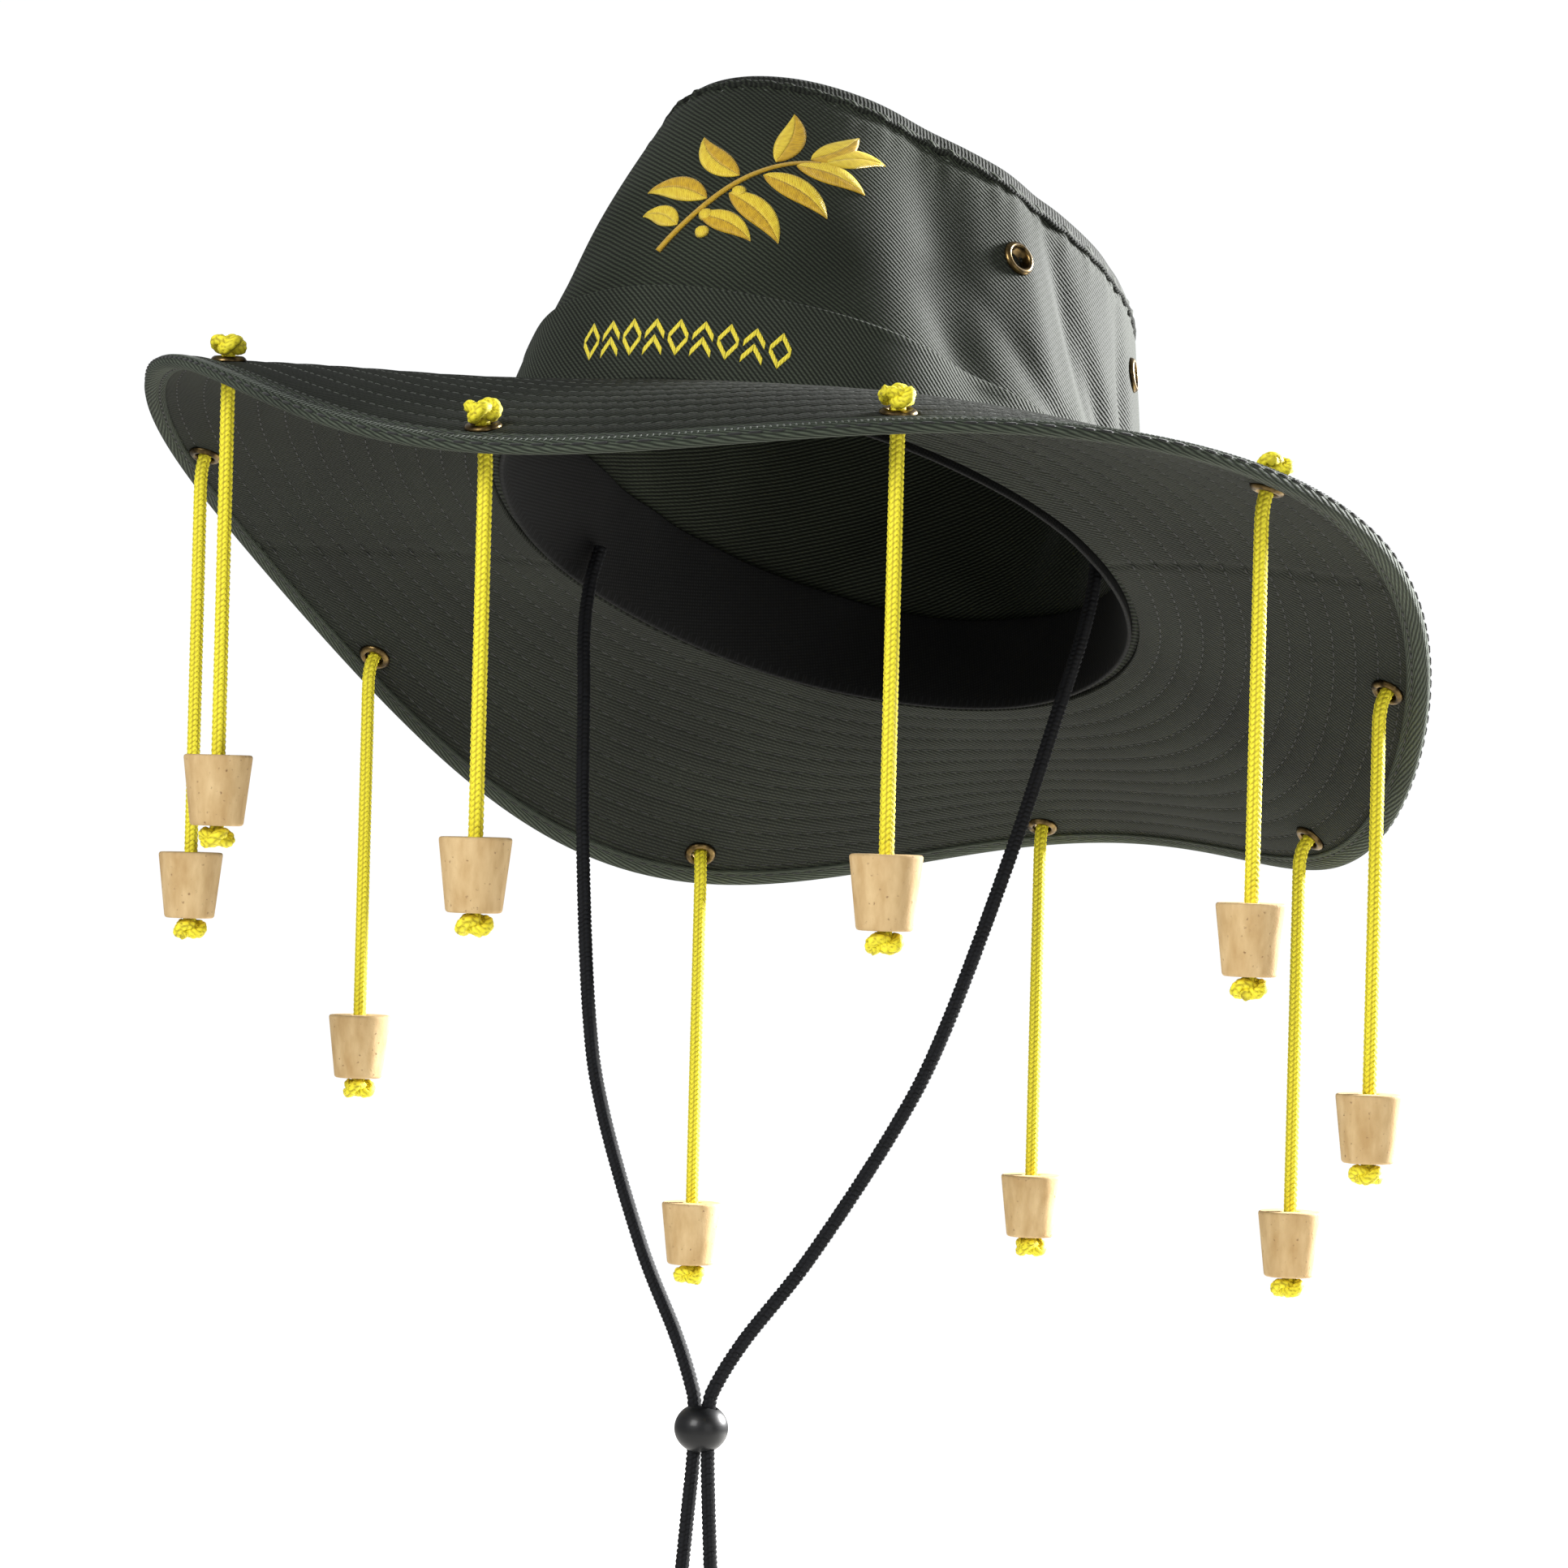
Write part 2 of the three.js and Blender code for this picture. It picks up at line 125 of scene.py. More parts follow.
def crown_plain(angle, share, inset=0.0):
    """The CAD wall without its dents, in the level hat's millimetres."""
    sine, cosine = sin(angle), cos(angle)
    corner = (abs(sine) ** TIP_POWER + abs(cosine) ** TIP_POWER) ** (-1 / TIP_POWER)
    foot = Vector((OPENING_X * sine, -OPENING_Y * cosine))
    top = Vector((TIP_X * sine * corner, TIP_BACK - TIP_Y * cosine * corner))
    outward = Vector((sine / OPENING_X, -cosine / OPENING_Y)).normalized()
    end = BULGE_FRONT if cosine > 0 else BULGE_BACK
    bulge = end * cosine ** 2 + BULGE_SIDE * sine ** 2
    plan = foot.lerp(top, share) + outward * (bulge * sin(pi * max(share, 0)) - inset)
    return Vector((plan.x, plan.y, crown_height(angle) * share))


# Soft dents of the crown's wall: degrees round, share up the wall, half length and half width
# in mm, depth in mm, and how far the dent leans towards the wearer's left, in degrees
WALL_DENTS = [
    (49, 0.62, 40, 12, 4.5, -16), (69, 0.60, 40, 7.0, -1.8, -18), (-36, 0.68, 34, 15, 4.0, 8),
    (54, 0.34, 20, 7, 1.4, -44), (82, 0.62, 30, 4.6, 2.9, -26), (93, 0.46, 26, 4.4, 3.0, -32),
    (104, 0.58, 26, 4.6, 2.6, -14), (84, 0.26, 22, 4.6, 1.7, -66), (72, 0.38, 22, 5.0, 1.5, -52),
    (112, 0.36, 20, 4.6, 1.8, -34), (24, 0.36, 28, 8, 1.4, 62), (-12, 0.48, 30, 8, 1.2, 76),
    (-84, 0.55, 30, 6, 1.8, 24), (-100, 0.42, 24, 5, 1.4, 40), (-118, 0.62, 26, 7, 1.6, 10),
    (138, 0.45, 26, 7, 1.8, 34), (163, 0.58, 30, 8, 2.0, -22), (-158, 0.50, 28, 7, 1.7, -40),
    (-176, 0.34, 22, 6, 1.2, 62),
]
WALL_RADIUS = 84.0  # a mean radius that turns angles into millimetres round the wall
TIP_DOME, CREASE_DEPTH, CREASE_WIDTH = 8.0, 7.0, 13.0


def wall_dent(angle, share):
    depth = 0.0
    for degrees, middle, half_length, half_width, deep, lean in WALL_DENTS:
        turn = (angle - radians(degrees) + pi) % (2 * pi) - pi
        across, along = turn * WALL_RADIUS, (share - middle) * TIP_HEIGHT
        if abs(across) < 2.5 * half_length:
            tilt = radians(lean)
            u = (across * cos(tilt) - along * sin(tilt)) / half_width
            v = (across * sin(tilt) + along * cos(tilt)) / half_length
            depth += deep * math.exp(-u * u - v * v)
    return depth


def crown_point(angle, share, inset=0.0):
    return crown_plain(angle, share, inset + wall_dent(angle, share))


def tip_point(angle, spread, lift):
    """The tip panel's underside. spread runs from 0 in the middle to 1 at the seam."""
    edge = crown_point(angle, 1)
    x = edge.x * spread
    y = TIP_BACK + (edge.y - TIP_BACK) * spread
    dome = TIP_DOME * (1 - spread ** 4)
    crease = CREASE_DEPTH * bump(x, 0, CREASE_WIDTH) * (1 - spread ** 2)
    z = TIP_HEIGHT + (edge.z - TIP_HEIGHT) * spread ** 2 + dome - crease
    return Vector((x, y, z + lift))


@functools.lru_cache(maxsize=None)
def brim_spoke(angle):
    """The brim's line at one angle: its foot and rim in plan, the rim's height, and its arch."""
    sine, cosine = sin(angle), cos(angle)
    reach = waves(RIM_REACH, angle)
    inner = Vector((OPENING_X * sine, -OPENING_Y * cosine))
    outer = Vector((RIM_X * reach * sine, RIM_BACK - RIM_Y * reach * cosine))
    degrees = abs(math.degrees((angle + pi) % (2 * pi) - pi))
    return inner, outer, waves(RIM_HEIGHT, angle), ARCH_HEIGHT * bump(degrees, ARCH_ANGLE, ARCH_SPREAD)


def brim_middle(angle, share):
    """The brim's middle surface. share runs from 0 at the crown to 1 at the rim."""
    inner, outer, height, arch = brim_spoke(angle)
    plan = inner.lerp(outer, share)
    out = max(share, 0.0)
    arch *= sin(pi * min(out, 1.0) ** ARCH_SKEW)
    return Vector((plan.x, plan.y, height * out ** BRIM_DROOP + arch))


def brim_width(angle):
    inner, outer, _, _ = brim_spoke(angle)
    return (outer - inner).length


def slopes(surface, angle, share, step=0.01):
    """Which way a surface runs at a point, along its share and round its angle."""
    around = surface(angle + step, share) - surface(angle - step, share)
    along = surface(angle, share + step) - surface(angle, share - step)
    return along, around


def brim_normal(angle, share):
    along, around = slopes(brim_middle, angle, min(share, 0.99))
    return along.cross(around).normalized()


def brim_point(angle, inset, lift):
    share = 1 - inset / brim_width(angle)
    return brim_middle(angle, share) + brim_normal(angle, share) * lift


def worn(point):
    """A point of the level hat in mm, as a place in the scene."""
    return (WEAR @ point) * MM


def worn_way(direction):
    return WEAR.to_3x3() @ direction


def brim_seat(index):
    """The middle of a brim eyelet and its axis, in the level hat."""
    angle = radians(CORKS[index][0])
    share = 1 - EYELET_INSET / brim_width(angle)
    return brim_middle(angle, share), brim_normal(angle, share)


# Making pieces

def mesh_object(name, bm, material):
    """Turns a bmesh, already in the scene's metres, into an object."""
    mesh = bpy.data.meshes.new(name)
    bm.to_mesh(mesh)
    bm.free()
    mesh.materials.append(material)
    return new_object(name, mesh)


def finish_piece(name, bm, material, slot):
    """Turns a bmesh into a smooth piece that rides on the hat."""
    piece = mesh_object(name, bm, material)
    piece.data.polygons.foreach_set("use_smooth", [True] * len(piece.data.polygons))
    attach(piece, "root")
    return piece


def mapped_grid(bm, across, up, place, flat, close=True):
    """Lays a grid over a surface, u and v from 0 to 1: place(u, v) gives its points and
    flat(u, v, middle) the cloth's own mm, in a face whose middle is at u = middle. A closed grid
    joins its two ends."""
    made = bmesh.ops.create_grid(bm, x_segments=across, y_segments=up, size=0.5, calc_uvs=False)
    layer = bm.loops.layers.uv.get("UVMap") or bm.loops.layers.uv.new("UVMap")
    shares = {v: (v.co.x + 0.5, v.co.y + 0.5) for v in made["verts"]}
    faces = {f for v in made["verts"] for f in v.link_faces}
    for face in faces:
        middle = sum(shares[v][0] for v in face.verts) / len(face.verts)
        for loop in face.loops:
            loop[layer].uv = flat(*shares[loop.vert], middle)
    for vert, (u, v) in shares.items():
        vert.co = place(u, v)
    if close:
        ends = [v for v, (u, _) in shares.items() if u < 1e-6 or u > 1 - 1e-6]
        bmesh.ops.remove_doubles(bm, verts=ends, dist=1e-6)
    return shares


def face_outwards(bm):
    bmesh.ops.recalc_face_normals(bm, faces=bm.faces)


def thicken(bm, thickness):
    """Gives a sheet its thickness, inwards."""
    face_outwards(bm)
    bmesh.ops.solidify(bm, geom=bm.faces[:] + bm.verts[:] + bm.edges[:], thickness=thickness)


def smooth_path(points, step):
    """Places in metres, about step mm apart, along a soft curve through points in mm."""
    points = [point * MM for point in points]
    padded = [points[0] * 2 - points[1], *points, points[-1] * 2 - points[-2]]
    path = []
    for before, start, end, after in zip(padded, padded[1:], padded[2:], padded[3:]):
        count = max(1, round((end - start).length / (step * MM)))
        for index in range(count):
            t = index / count
            path.append(0.5 * (
                2 * start + (end - before) * t
                + (2 * before - 5 * start + 4 * end - after) * t ** 2
                + (3 * start - before - 3 * end + after) * t ** 3
            ))
    path.append(points[-1])
    return path


def path_frames(path):
    """Two sideways unit vectors at each point of a path, with as little twist as can be."""
    ends = zip(path[:1] + path, path[1:] + path[-1:])
    tangents = [(after - before).normalized() for before, after in ends]
    side = tangents[0].orthogonal().normalized()
    frames = []
    for tangent in tangents:
        side = (side - tangent * side.dot(tangent)).normalized()
        frames.append((side, tangent.cross(side)))
    return frames


# Materials

WAVE_MM = pi / 10  # a wave texture of scale 1 repeats each 0.314 units
# the colour of pale lint, which also serves as a painted highlight on the ribs' tops
LINT_AND_HIGHLIGHT = "#50554c"


def linear(colour):
    """An sRGB hex colour as the linear values that a shader takes."""
    shares = [int(colour[i:i + 2], 16) / 255 for i in (1, 3, 5)]
    return (*(s / 12.92 if s <= 0.04045 else ((s + 0.055) / 1.055) ** 2.4 for s in shares), 1.0)


def add(tree, kind, inputs=None, out=None, **settings):
    """Adds a node. inputs gives each socket, by name or number, a value, a hex colour or the socket
    that feeds it. out names the output that comes back, which is otherwise the first in use."""
    node = tree.nodes.new("ShaderNode" + kind)
    for name, value in settings.items():
        setattr(node, name, value)
    for key, value in (inputs or {}).items():
        if isinstance(value, bpy.types.NodeSocket):
            tree.links.new(value, node.inputs[key])
        else:
            node.inputs[key].default_value = linear(value) if isinstance(value, str) else value
    return node.outputs[out] if out else next(o for o in node.outputs if o.enabled)


def material(name, **values):
    made = bpy.data.materials.new(name)
    made.use_nodes = True
    tree = made.node_tree
    shader = tree.nodes["Principled BSDF"]
    for socket, value in values.items():
        shader.inputs[socket.replace("_", " ")].default_value = value
    return made, tree, shader


def surface(tree, shader, colour, height, depth, strength=1.0):
    """Gives the shader its pattern's colour and relief, depth in metres."""
    tree.links.new(colour, shader.inputs["Base Color"])
    relief = add(tree, "Bump", {"Height": height, "Strength": strength, "Distance": depth})
    tree.links.new(relief, shader.inputs["Normal"])


def twill(name, groove, ridge, turn, pitch=1.05, sheen=0.02):
    """Matt cotton twill: diagonal ribs broken into short floats, with painted shade in their grooves,
    pale lint that is partly a painted highlight on the ribs, and cloudy patches of random tone and
    painted light.
    """
    made, tree, shader = material(
        name, Roughness=0.78, Sheen_Weight=sheen, Sheen_Roughness=0.3, Specular_IOR_Level=0.2)
    uv = add(tree, "UVMap", uv_map="UVMap")
    place = add(tree, "TexCoord", out="Object")
    turned = add(tree, "VectorRotate", {"Vector": uv, "Angle": radians(turn)}, rotation_type="Z_AXIS")
    rib = add(tree, "TexWave", {
        "Vector": turned, "Scale": WAVE_MM / pitch, "Distortion": 1.6, "Detail": 1.0, "Detail Scale": 0.3},
        out="Fac")
    floats = add(tree, "TexWave", {
        "Vector": uv, "Scale": WAVE_MM / (0.75 * pitch), "Distortion": 2.0, "Detail": 2.0,
        "Detail Scale": 1.2}, out="Fac", bands_direction="Y")
    broken = add(tree, "Math", {0: floats, 1: 0.4, 2: 0.6}, operation="MULTIPLY_ADD")
    height = add(tree, "Math", {0: rib, 1: broken}, operation="MULTIPLY")
    lint = add(tree, "TexNoise", {"Vector": uv, "Scale": 1.9, "Detail": 3.0})
    cloud = add(tree, "TexNoise", {"Vector": place, "Scale": 22.0, "Detail": 3.0})
    # painted shade: the colour goes dark down in the rib grooves and light on the ridges
    rib_shade_painted = add(tree, "Mix", {"Factor": height, 6: groove, 7: ridge}, data_type="RGBA")
    # pale lint, laid only on the ribs' tops, so it is partly real lint and partly a painted highlight
    caught = add(tree, "MapRange", {0: lint, 1: 0.52, 2: 0.78, 3: 0.0, 4: 0.45})
    lint_on_ridges_and_highlight = add(tree, "Math", {0: caught, 1: rib}, operation="MULTIPLY")
    lint_and_highlight_mixed = add(tree, "Mix", {"Factor": lint_on_ridges_and_highlight, 6: rib_shade_painted, 7: LINT_AND_HIGHLIGHT}, data_type="RGBA")
    # cloudy patches of random tone, widened to stand in for patchy highlights: painted light and shade
    random_tone_and_painted_light = add(tree, "MapRange", {0: cloud, 1: 0.3, 2: 0.7, 3: 0.74, 4: 1.24})
    colour_with_painted_light = add(tree, "VectorMath", {0: lint_and_highlight_mixed, "Scale": random_tone_and_painted_light}, operation="SCALE")
    grain = add(tree, "Math", {0: lint, 1: 0.4, 2: height}, operation="MULTIPLY_ADD")
    surface(tree, shader, colour_with_painted_light, grain, 0.00022)
    return made


def braid_yarn(name, deep, bright, roughness=0.62, sheen=0.05, specular=0.4):
    """The yarn of a braid whose plait is in the mesh: fine filaments, with painted shade down in it."""
    made, tree, shader = material(
        name, Roughness=roughness, Sheen_Weight=sheen, Specular_IOR_Level=specular)
    uv = add(tree, "UVMap", uv_map="UVMap")
    plait = add(tree, "Attribute", attribute_name="relief", out="Fac")
    turned = add(tree, "VectorRotate", {"Vector": uv, "Angle": radians(35)}, rotation_type="Z_AXIS")
    filament = add(
        tree, "TexWave", {"Vector": turned, "Scale": WAVE_MM / 0.3, "Distortion": 1.0}, out="Fac")
    fuzz = add(tree, "TexNoise", {"Vector": uv, "Scale": 1.6, "Detail": 2.0})
    # painted shade: the yarn darkens where the plait's relief is low, down between the plaits
    soft = add(tree, "Math", {0: fuzz, 1: 0.3, 2: plait}, operation="MULTIPLY_ADD")
    tone = add(tree, "Math", {0: filament, 1: 0.15, 2: soft}, operation="MULTIPLY_ADD")
    share = add(tree, "MapRange", {0: tone, 1: 0.3, 2: 0.95, 3: 0.0, 4: 1.0})
    colour = add(tree, "Mix", {"Factor": share, 6: deep, 7: bright}, data_type="RGBA")
    surface(tree, shader, colour, filament, 0.00006, 0.5)
    return made


def antique_brass():
    """Rolled brass under an aged brown film, bright where it is rubbed."""
    made, tree, shader = material("antique_brass_rolled", Metallic=1.0)
    place = add(tree, "TexCoord", out="Object")
    film = add(tree, "TexNoise", {"Vector": place, "Scale": 420.0, "Detail": 4.0})
    fine = add(tree, "TexNoise", {"Vector": place, "Scale": 2600.0, "Detail": 2.0})
    share = add(tree, "MapRange", {0: film, 1: 0.35, 2: 0.65, 3: 0.0, 4: 1.0})
    colour = add(tree, "Mix", {"Factor": share, 6: "#33291a", 7: "#7d6841"}, data_type="RGBA")
    rough = add(tree, "MapRange", {0: film, 1: 0.3, 2: 0.7, 3: 0.45, 4: 0.25})
    tree.links.new(rough, shader.inputs["Roughness"])
    surface(tree, shader, colour, fine, 0.00003, 0.3)
    return made


def natural_cork():
    """Turned natural cork: warm tan, with growth streaks across it and small brown pores."""
    made, tree, shader = material("natural_cork_turned", Roughness=0.82)
    place = add(tree, "TexCoord", out="Object")
    stretched = add(tree, "Mapping", {"Vector": place, "Scale": (1.0, 1.0, 0.35)})
    streak = add(tree, "TexNoise", {"Vector": stretched, "Scale": 330.0, "Detail": 5.0})
    pore = add(tree, "TexVoronoi", {"Vector": place, "Scale": 560.0}, out="Distance")
    grain = add(tree, "TexNoise", {"Vector": place, "Scale": 1500.0, "Detail": 3.0})
    tone = add(tree, "MapRange", {0: streak, 1: 0.3, 2: 0.72, 3: 0.0, 4: 1.0})
    body = add(tree, "Mix", {"Factor": tone, 6: "#bd9b68", 7: "#dabd8c"}, data_type="RGBA")
    hole = add(tree, "MapRange", {0: pore, 1: 0.12, 2: 0.24, 3: 1.0, 4: 0.0})
    open_pore = add(tree, "MapRange", {0: grain, 1: 0.5, 2: 0.65, 3: 0.0, 4: 0.7})
    seen = add(tree, "Math", {0: hole, 1: open_pore}, operation="MULTIPLY")
    colour = add(tree, "Mix", {"Factor": seen, 6: body, 7: "#7a5430"}, data_type="RGBA")
    height = add(tree, "Math", {0: grain, 1: 0.5, 2: seen}, operation="MULTIPLY_ADD")
    surface(tree, shader, colour, height, 0.0002, 0.7)
    return made


def thread(name, deep, bright, spacing=0.42, roughness=0.42):
    """Thread laid side by side in fine ridges, glossy as rayon or nearly matt as cotton."""
    made, tree, shader = material(name, Roughness=roughness, Sheen_Weight=0.15)
    uv = add(tree, "UVMap", uv_map="UVMap")
    strand = add(tree, "TexWave", {
        "Vector": uv, "Scale": WAVE_MM / spacing, "Distortion": 1.2, "Detail": 1.0, "Detail Scale": 0.6},
        out="Fac")
    fuzz = add(tree, "TexNoise", {"Vector": uv, "Scale": 0.8, "Detail": 2.0})
    tone = add(tree, "Math", {0: strand, 1: 0.55, 2: fuzz}, operation="MULTIPLY_ADD")
    share = add(tree, "MapRange", {0: tone, 1: 0.35, 2: 1.15, 3: 0.0, 4: 1.0})
    colour = add(tree, "Mix", {"Factor": share, 6: deep, 7: bright}, data_type="RGBA")
    surface(tree, shader, colour, strand, 0.0001, 0.8)
    return made


def band_sateen():
    """Black cotton band, close woven, with a soft dull face."""
    made, tree, shader = material("black_cotton_sateen", Roughness=0.8, Specular_IOR_Level=0.2)
    uv = add(tree, "UVMap", uv_map="UVMap")
    turned = add(tree, "VectorRotate", {"Vector": uv, "Angle": radians(20)}, rotation_type="Z_AXIS")
    warp = add(tree, "TexWave", {"Vector": turned, "Scale": WAVE_MM / 0.8}, out="Fac")
    weft = add(tree, "TexWave", {"Vector": turned, "Scale": WAVE_MM / 0.9}, out="Fac", bands_direction="Y")
    height = add(tree, "Math", {0: warp, 1: weft}, operation="MULTIPLY")
    colour = add(tree, "Mix", {"Factor": height, 6: "#090a0a", 7: "#1b1c1d"}, data_type="RGBA")
    surface(tree, shader, colour, height, 0.0001, 0.6)
    return made


def lacquered_wood():
    """Turned wooden bead under black lacquer: gloss over faint turning rings."""
    made, tree, shader = material(
        "black_lacquered_wood", Roughness=0.42, Specular_IOR_Level=0.3, Coat_Weight=0.25,
        Coat_Roughness=0.2)
    place = add(tree, "TexCoord", out="Object")
    flat = add(tree, "Mapping", {"Vector": place, "Scale": (0.2, 0.2, 3.0)})
    rings = add(tree, "TexNoise", {"Vector": flat, "Scale": 300.0, "Detail": 3.0})
    colour = add(tree, "Mix", {"Factor": rings, 6: "#08090a", 7: "#1a1b1d"}, data_type="RGBA")
    surface(tree, shader, colour, rings, 0.00008, 0.2)
    return made


# Each twill's first colour is for its rib grooves, painted darker as shade, and its second for the ridges
CROWN_TWILL = twill("crown_cotton_twill", "#0c0e0a", "#3a4133", -62, sheen=0.1)
BAND_TWILL = twill("band_cotton_twill", "#0f120d", "#444a3e", -48, sheen=0.08)
# The brim's twill is a darker copy of the crown's cloth: painted shade for the shaded underside
BRIM_TWILL_SHADED = twill("brim_cotton_twill_painted_shade", "#0c0e09", "#2c3127", 45, pitch=1.1)
# The tip's twill is a darker copy of the crown's cloth: painted shade on the tip panel
TIP_TWILL_SHADED = twill("tip_cotton_twill_painted_shade", "#0a0c08", "#262a22", 48)
TAPE_TWILL = twill("edge_tape_twill", "#1e231c", "#545c4f", 78, pitch=0.8)
# Each yarn's first colour is painted shade, for deep down in the plait
YELLOW_YARN = braid_yarn("yellow_braided_polyester", "#a28e0c", "#fbee34"), "yellow_cord"
BLACK_YARN = braid_yarn("black_braided_polyester", "#040405", "#1c1d20", 0.7, 0.0, 0.15), "chin_cord"
BRASS = antique_brass()
CORK = natural_cork()
SWEATBAND_CLOTH = band_sateen()
LACQUER = lacquered_wood()
GOLD_PALE = thread("pale_gold_rayon_thread", "#c79f14", "#f8e042")
GOLD_DEEP = thread("deep_gold_rayon_thread", "#a47c10", "#e4ba24")
EDGE_THREAD = thread("grey_green_cotton_thread", "#3c413b", "#858b82", 0.3, 0.8)
BRIM_THREAD = thread("green_cotton_thread", "#22271f", "#4b5147", 0.3, 0.8)
DARK_THREAD = thread("dark_cotton_thread", "#0c0e0d", "#232623", 0.3, 0.8)
PRINT_INK = thread("yellow_plastisol_print", "#d3bd1c", "#f9e840", 1.05, 0.6)


# Cords, knots and corks

CORD_RADIUS = 1.75
KNOT_TURN, KNOT_RISE, KNOT_STRAND = 1.14, 1.1, 1.5  # a knot's plan, height and strand radius, mm
CORK_BOTTOM, CORK_TOP, CORK_LENGTH, CORK_BORE = 6.6, 8.65, 17.6, 2.15
EYELET_HOLE, EYELET_FLANGE, EYELET_FACE = 2.5, 4.5, 2.3
TOP_KNOT_SEAT, END_KNOT_SEAT = 5.01, 2.88  # a knot's middle over the brim's, and under the cork
CORD_BEND = [(3.4, 0), (5.4, 1.6), (6, 4.6)]  # along the eyelet's axis, and down, from its middle
BRAID_STEP, BRAID_COLUMNS, BRAID_SLANT = 0.28, 6, 1.1


def braided_tube(name, path, radius, yarn, around=24, pitch=1.4, relief=0.19):
    """A cord along a path in metres, its plaits pitch mm long, made of yarn: a material and its
    slot. The height of the plait is kept as an attribute, for the painted shade in the yarn's colour."""
    bm = bmesh.new()
    frames = path_frames(path)
    lengths = [0.0]
    for start, end in zip(path, path[1:]):
        lengths.append(lengths[-1] + (end - start).length / MM)
    rings = len(path) - 1
    heights = {}

    def place(u, v):
        index = round(v * rings)
        column, whole = math.modf(u * BRAID_COLUMNS + 1e-6)
        slant = abs(column - 0.5) * (BRAID_SLANT if whole % 2 else -BRAID_SLANT)
        plait = abs(sin(pi * (lengths[index] / pitch + slant))) ** 0.7
        height = plait * min(1.0, 0.35 + 2.6 * (0.5 - abs(column - 0.5)))
        heights[round(u * around) % around, index] = height
        side, other = frames[index]
        turn = 2 * pi * u
        reach = radius * MM * (1 - relief + relief * 1.2 * height)
        return path[index] + (side * cos(turn) + other * sin(turn)) * reach

    def flat(u, v, _):
        return u * 2 * pi * radius, lengths[round(v * rings)]

    layer = bm.verts.layers.float.new("relief")
    shares = mapped_grid(bm, around, rings, place, flat)
    for vert, (u, v) in shares.items():
        if vert.is_valid:
            vert[layer] = heights[round(u * around) % around, round(v * rings)]
    bmesh.ops.holes_fill(bm, edges=[e for e in bm.edges if e.is_boundary], sides=around + 2)
    face_outwards(bm)
    return finish_piece(name, bm, *yarn)


def trefoil(middle, axis, turn, scale):
    """The strand of an overhand knot pulled tight, as a closed path in metres."""
    lean = UP.rotation_difference(axis)
    path = []
    for index in range(97):
        t = 2 * pi * index / 96
        point = Vector((
            KNOT_TURN * (sin(t) + 2 * sin(2 * t)),
            KNOT_TURN * (cos(t) - 2 * cos(2 * t)),
            -KNOT_RISE * sin(3 * t),
        )) * scale
        point.rotate(Quaternion(UP, turn))
        point.rotate(lean)
        path.append((middle + point) * MM)
    return path


def knot_and_tail(name, middle, axis, tail, turn, yarn, scale=1.0):
    """A knot with the cord's short free end standing out of it along tail, in mm."""
    strand = KNOT_STRAND * scale
    knot = braided_tube(name, trefoil(middle, axis, turn, scale), strand, yarn, around=16)
    crooked = axis if abs(tail.normalized().dot(axis)) < 0.9 else tail.orthogonal()
    side = tail.cross(crooked).normalized()
    path = smooth_path([middle, middle + tail * 0.55, middle + tail + side * 0.5], BRAID_STEP)
    end = braided_tube(name + "_tail", path, strand * 0.95, yarn, around=16)
    return [knot, end]


def spun(name, profile, middle, axis, material, slot, steps=48):
    """Turns a profile of (radius, height) in mm round an axis through middle."""
    bm = bmesh.new()
    verts = [bm.verts.new((radius, 0, height)) for radius, height in profile]
    edges = [bm.edges.new(pair) for pair in zip(verts, verts[1:] + verts[:1])]
    bmesh.ops.spin(
        bm, geom=verts + edges, cent=(0, 0, 0), axis=(0, 0, 1), angle=2 * pi, steps=steps,
        use_merge=True)
    bmesh.ops.remove_doubles(bm, verts=bm.verts, dist=1e-5)
    face_outwards(bm)
    turned = UP.rotation_difference(axis).to_matrix().to_4x4()
    placed = Matrix.Translation(middle * MM) @ turned @ Matrix.Scale(MM, 4)
    bmesh.ops.transform(bm, matrix=placed, verts=bm.verts)
    return finish_piece(name, bm, material, slot)


def rounded(corners, radius, steps=4):
    """Rounds the corners of a closed profile of (radius, height) points."""
    result = []
    corners = [Vector(corner) for corner in corners]
    for before, here, after in zip(corners[-1:] + corners, corners, corners[1:] + corners[:1]):
        cut = min(radius, (before - here).length / 2.2, (after - here).length / 2.2)
        start = here + (before - here).normalized() * cut
        end = here + (after - here).normalized() * cut
        for step in range(steps + 1):
            t = step / steps
            result.append(start * (1 - t) ** 2 + here * 2 * t * (1 - t) + end * t ** 2)
    return result


CORK_PROFILE = rounded(
    [(CORK_BORE, 0), (CORK_BOTTOM, 0), (CORK_TOP, CORK_LENGTH), (CORK_BORE, CORK_LENGTH)], 0.9)


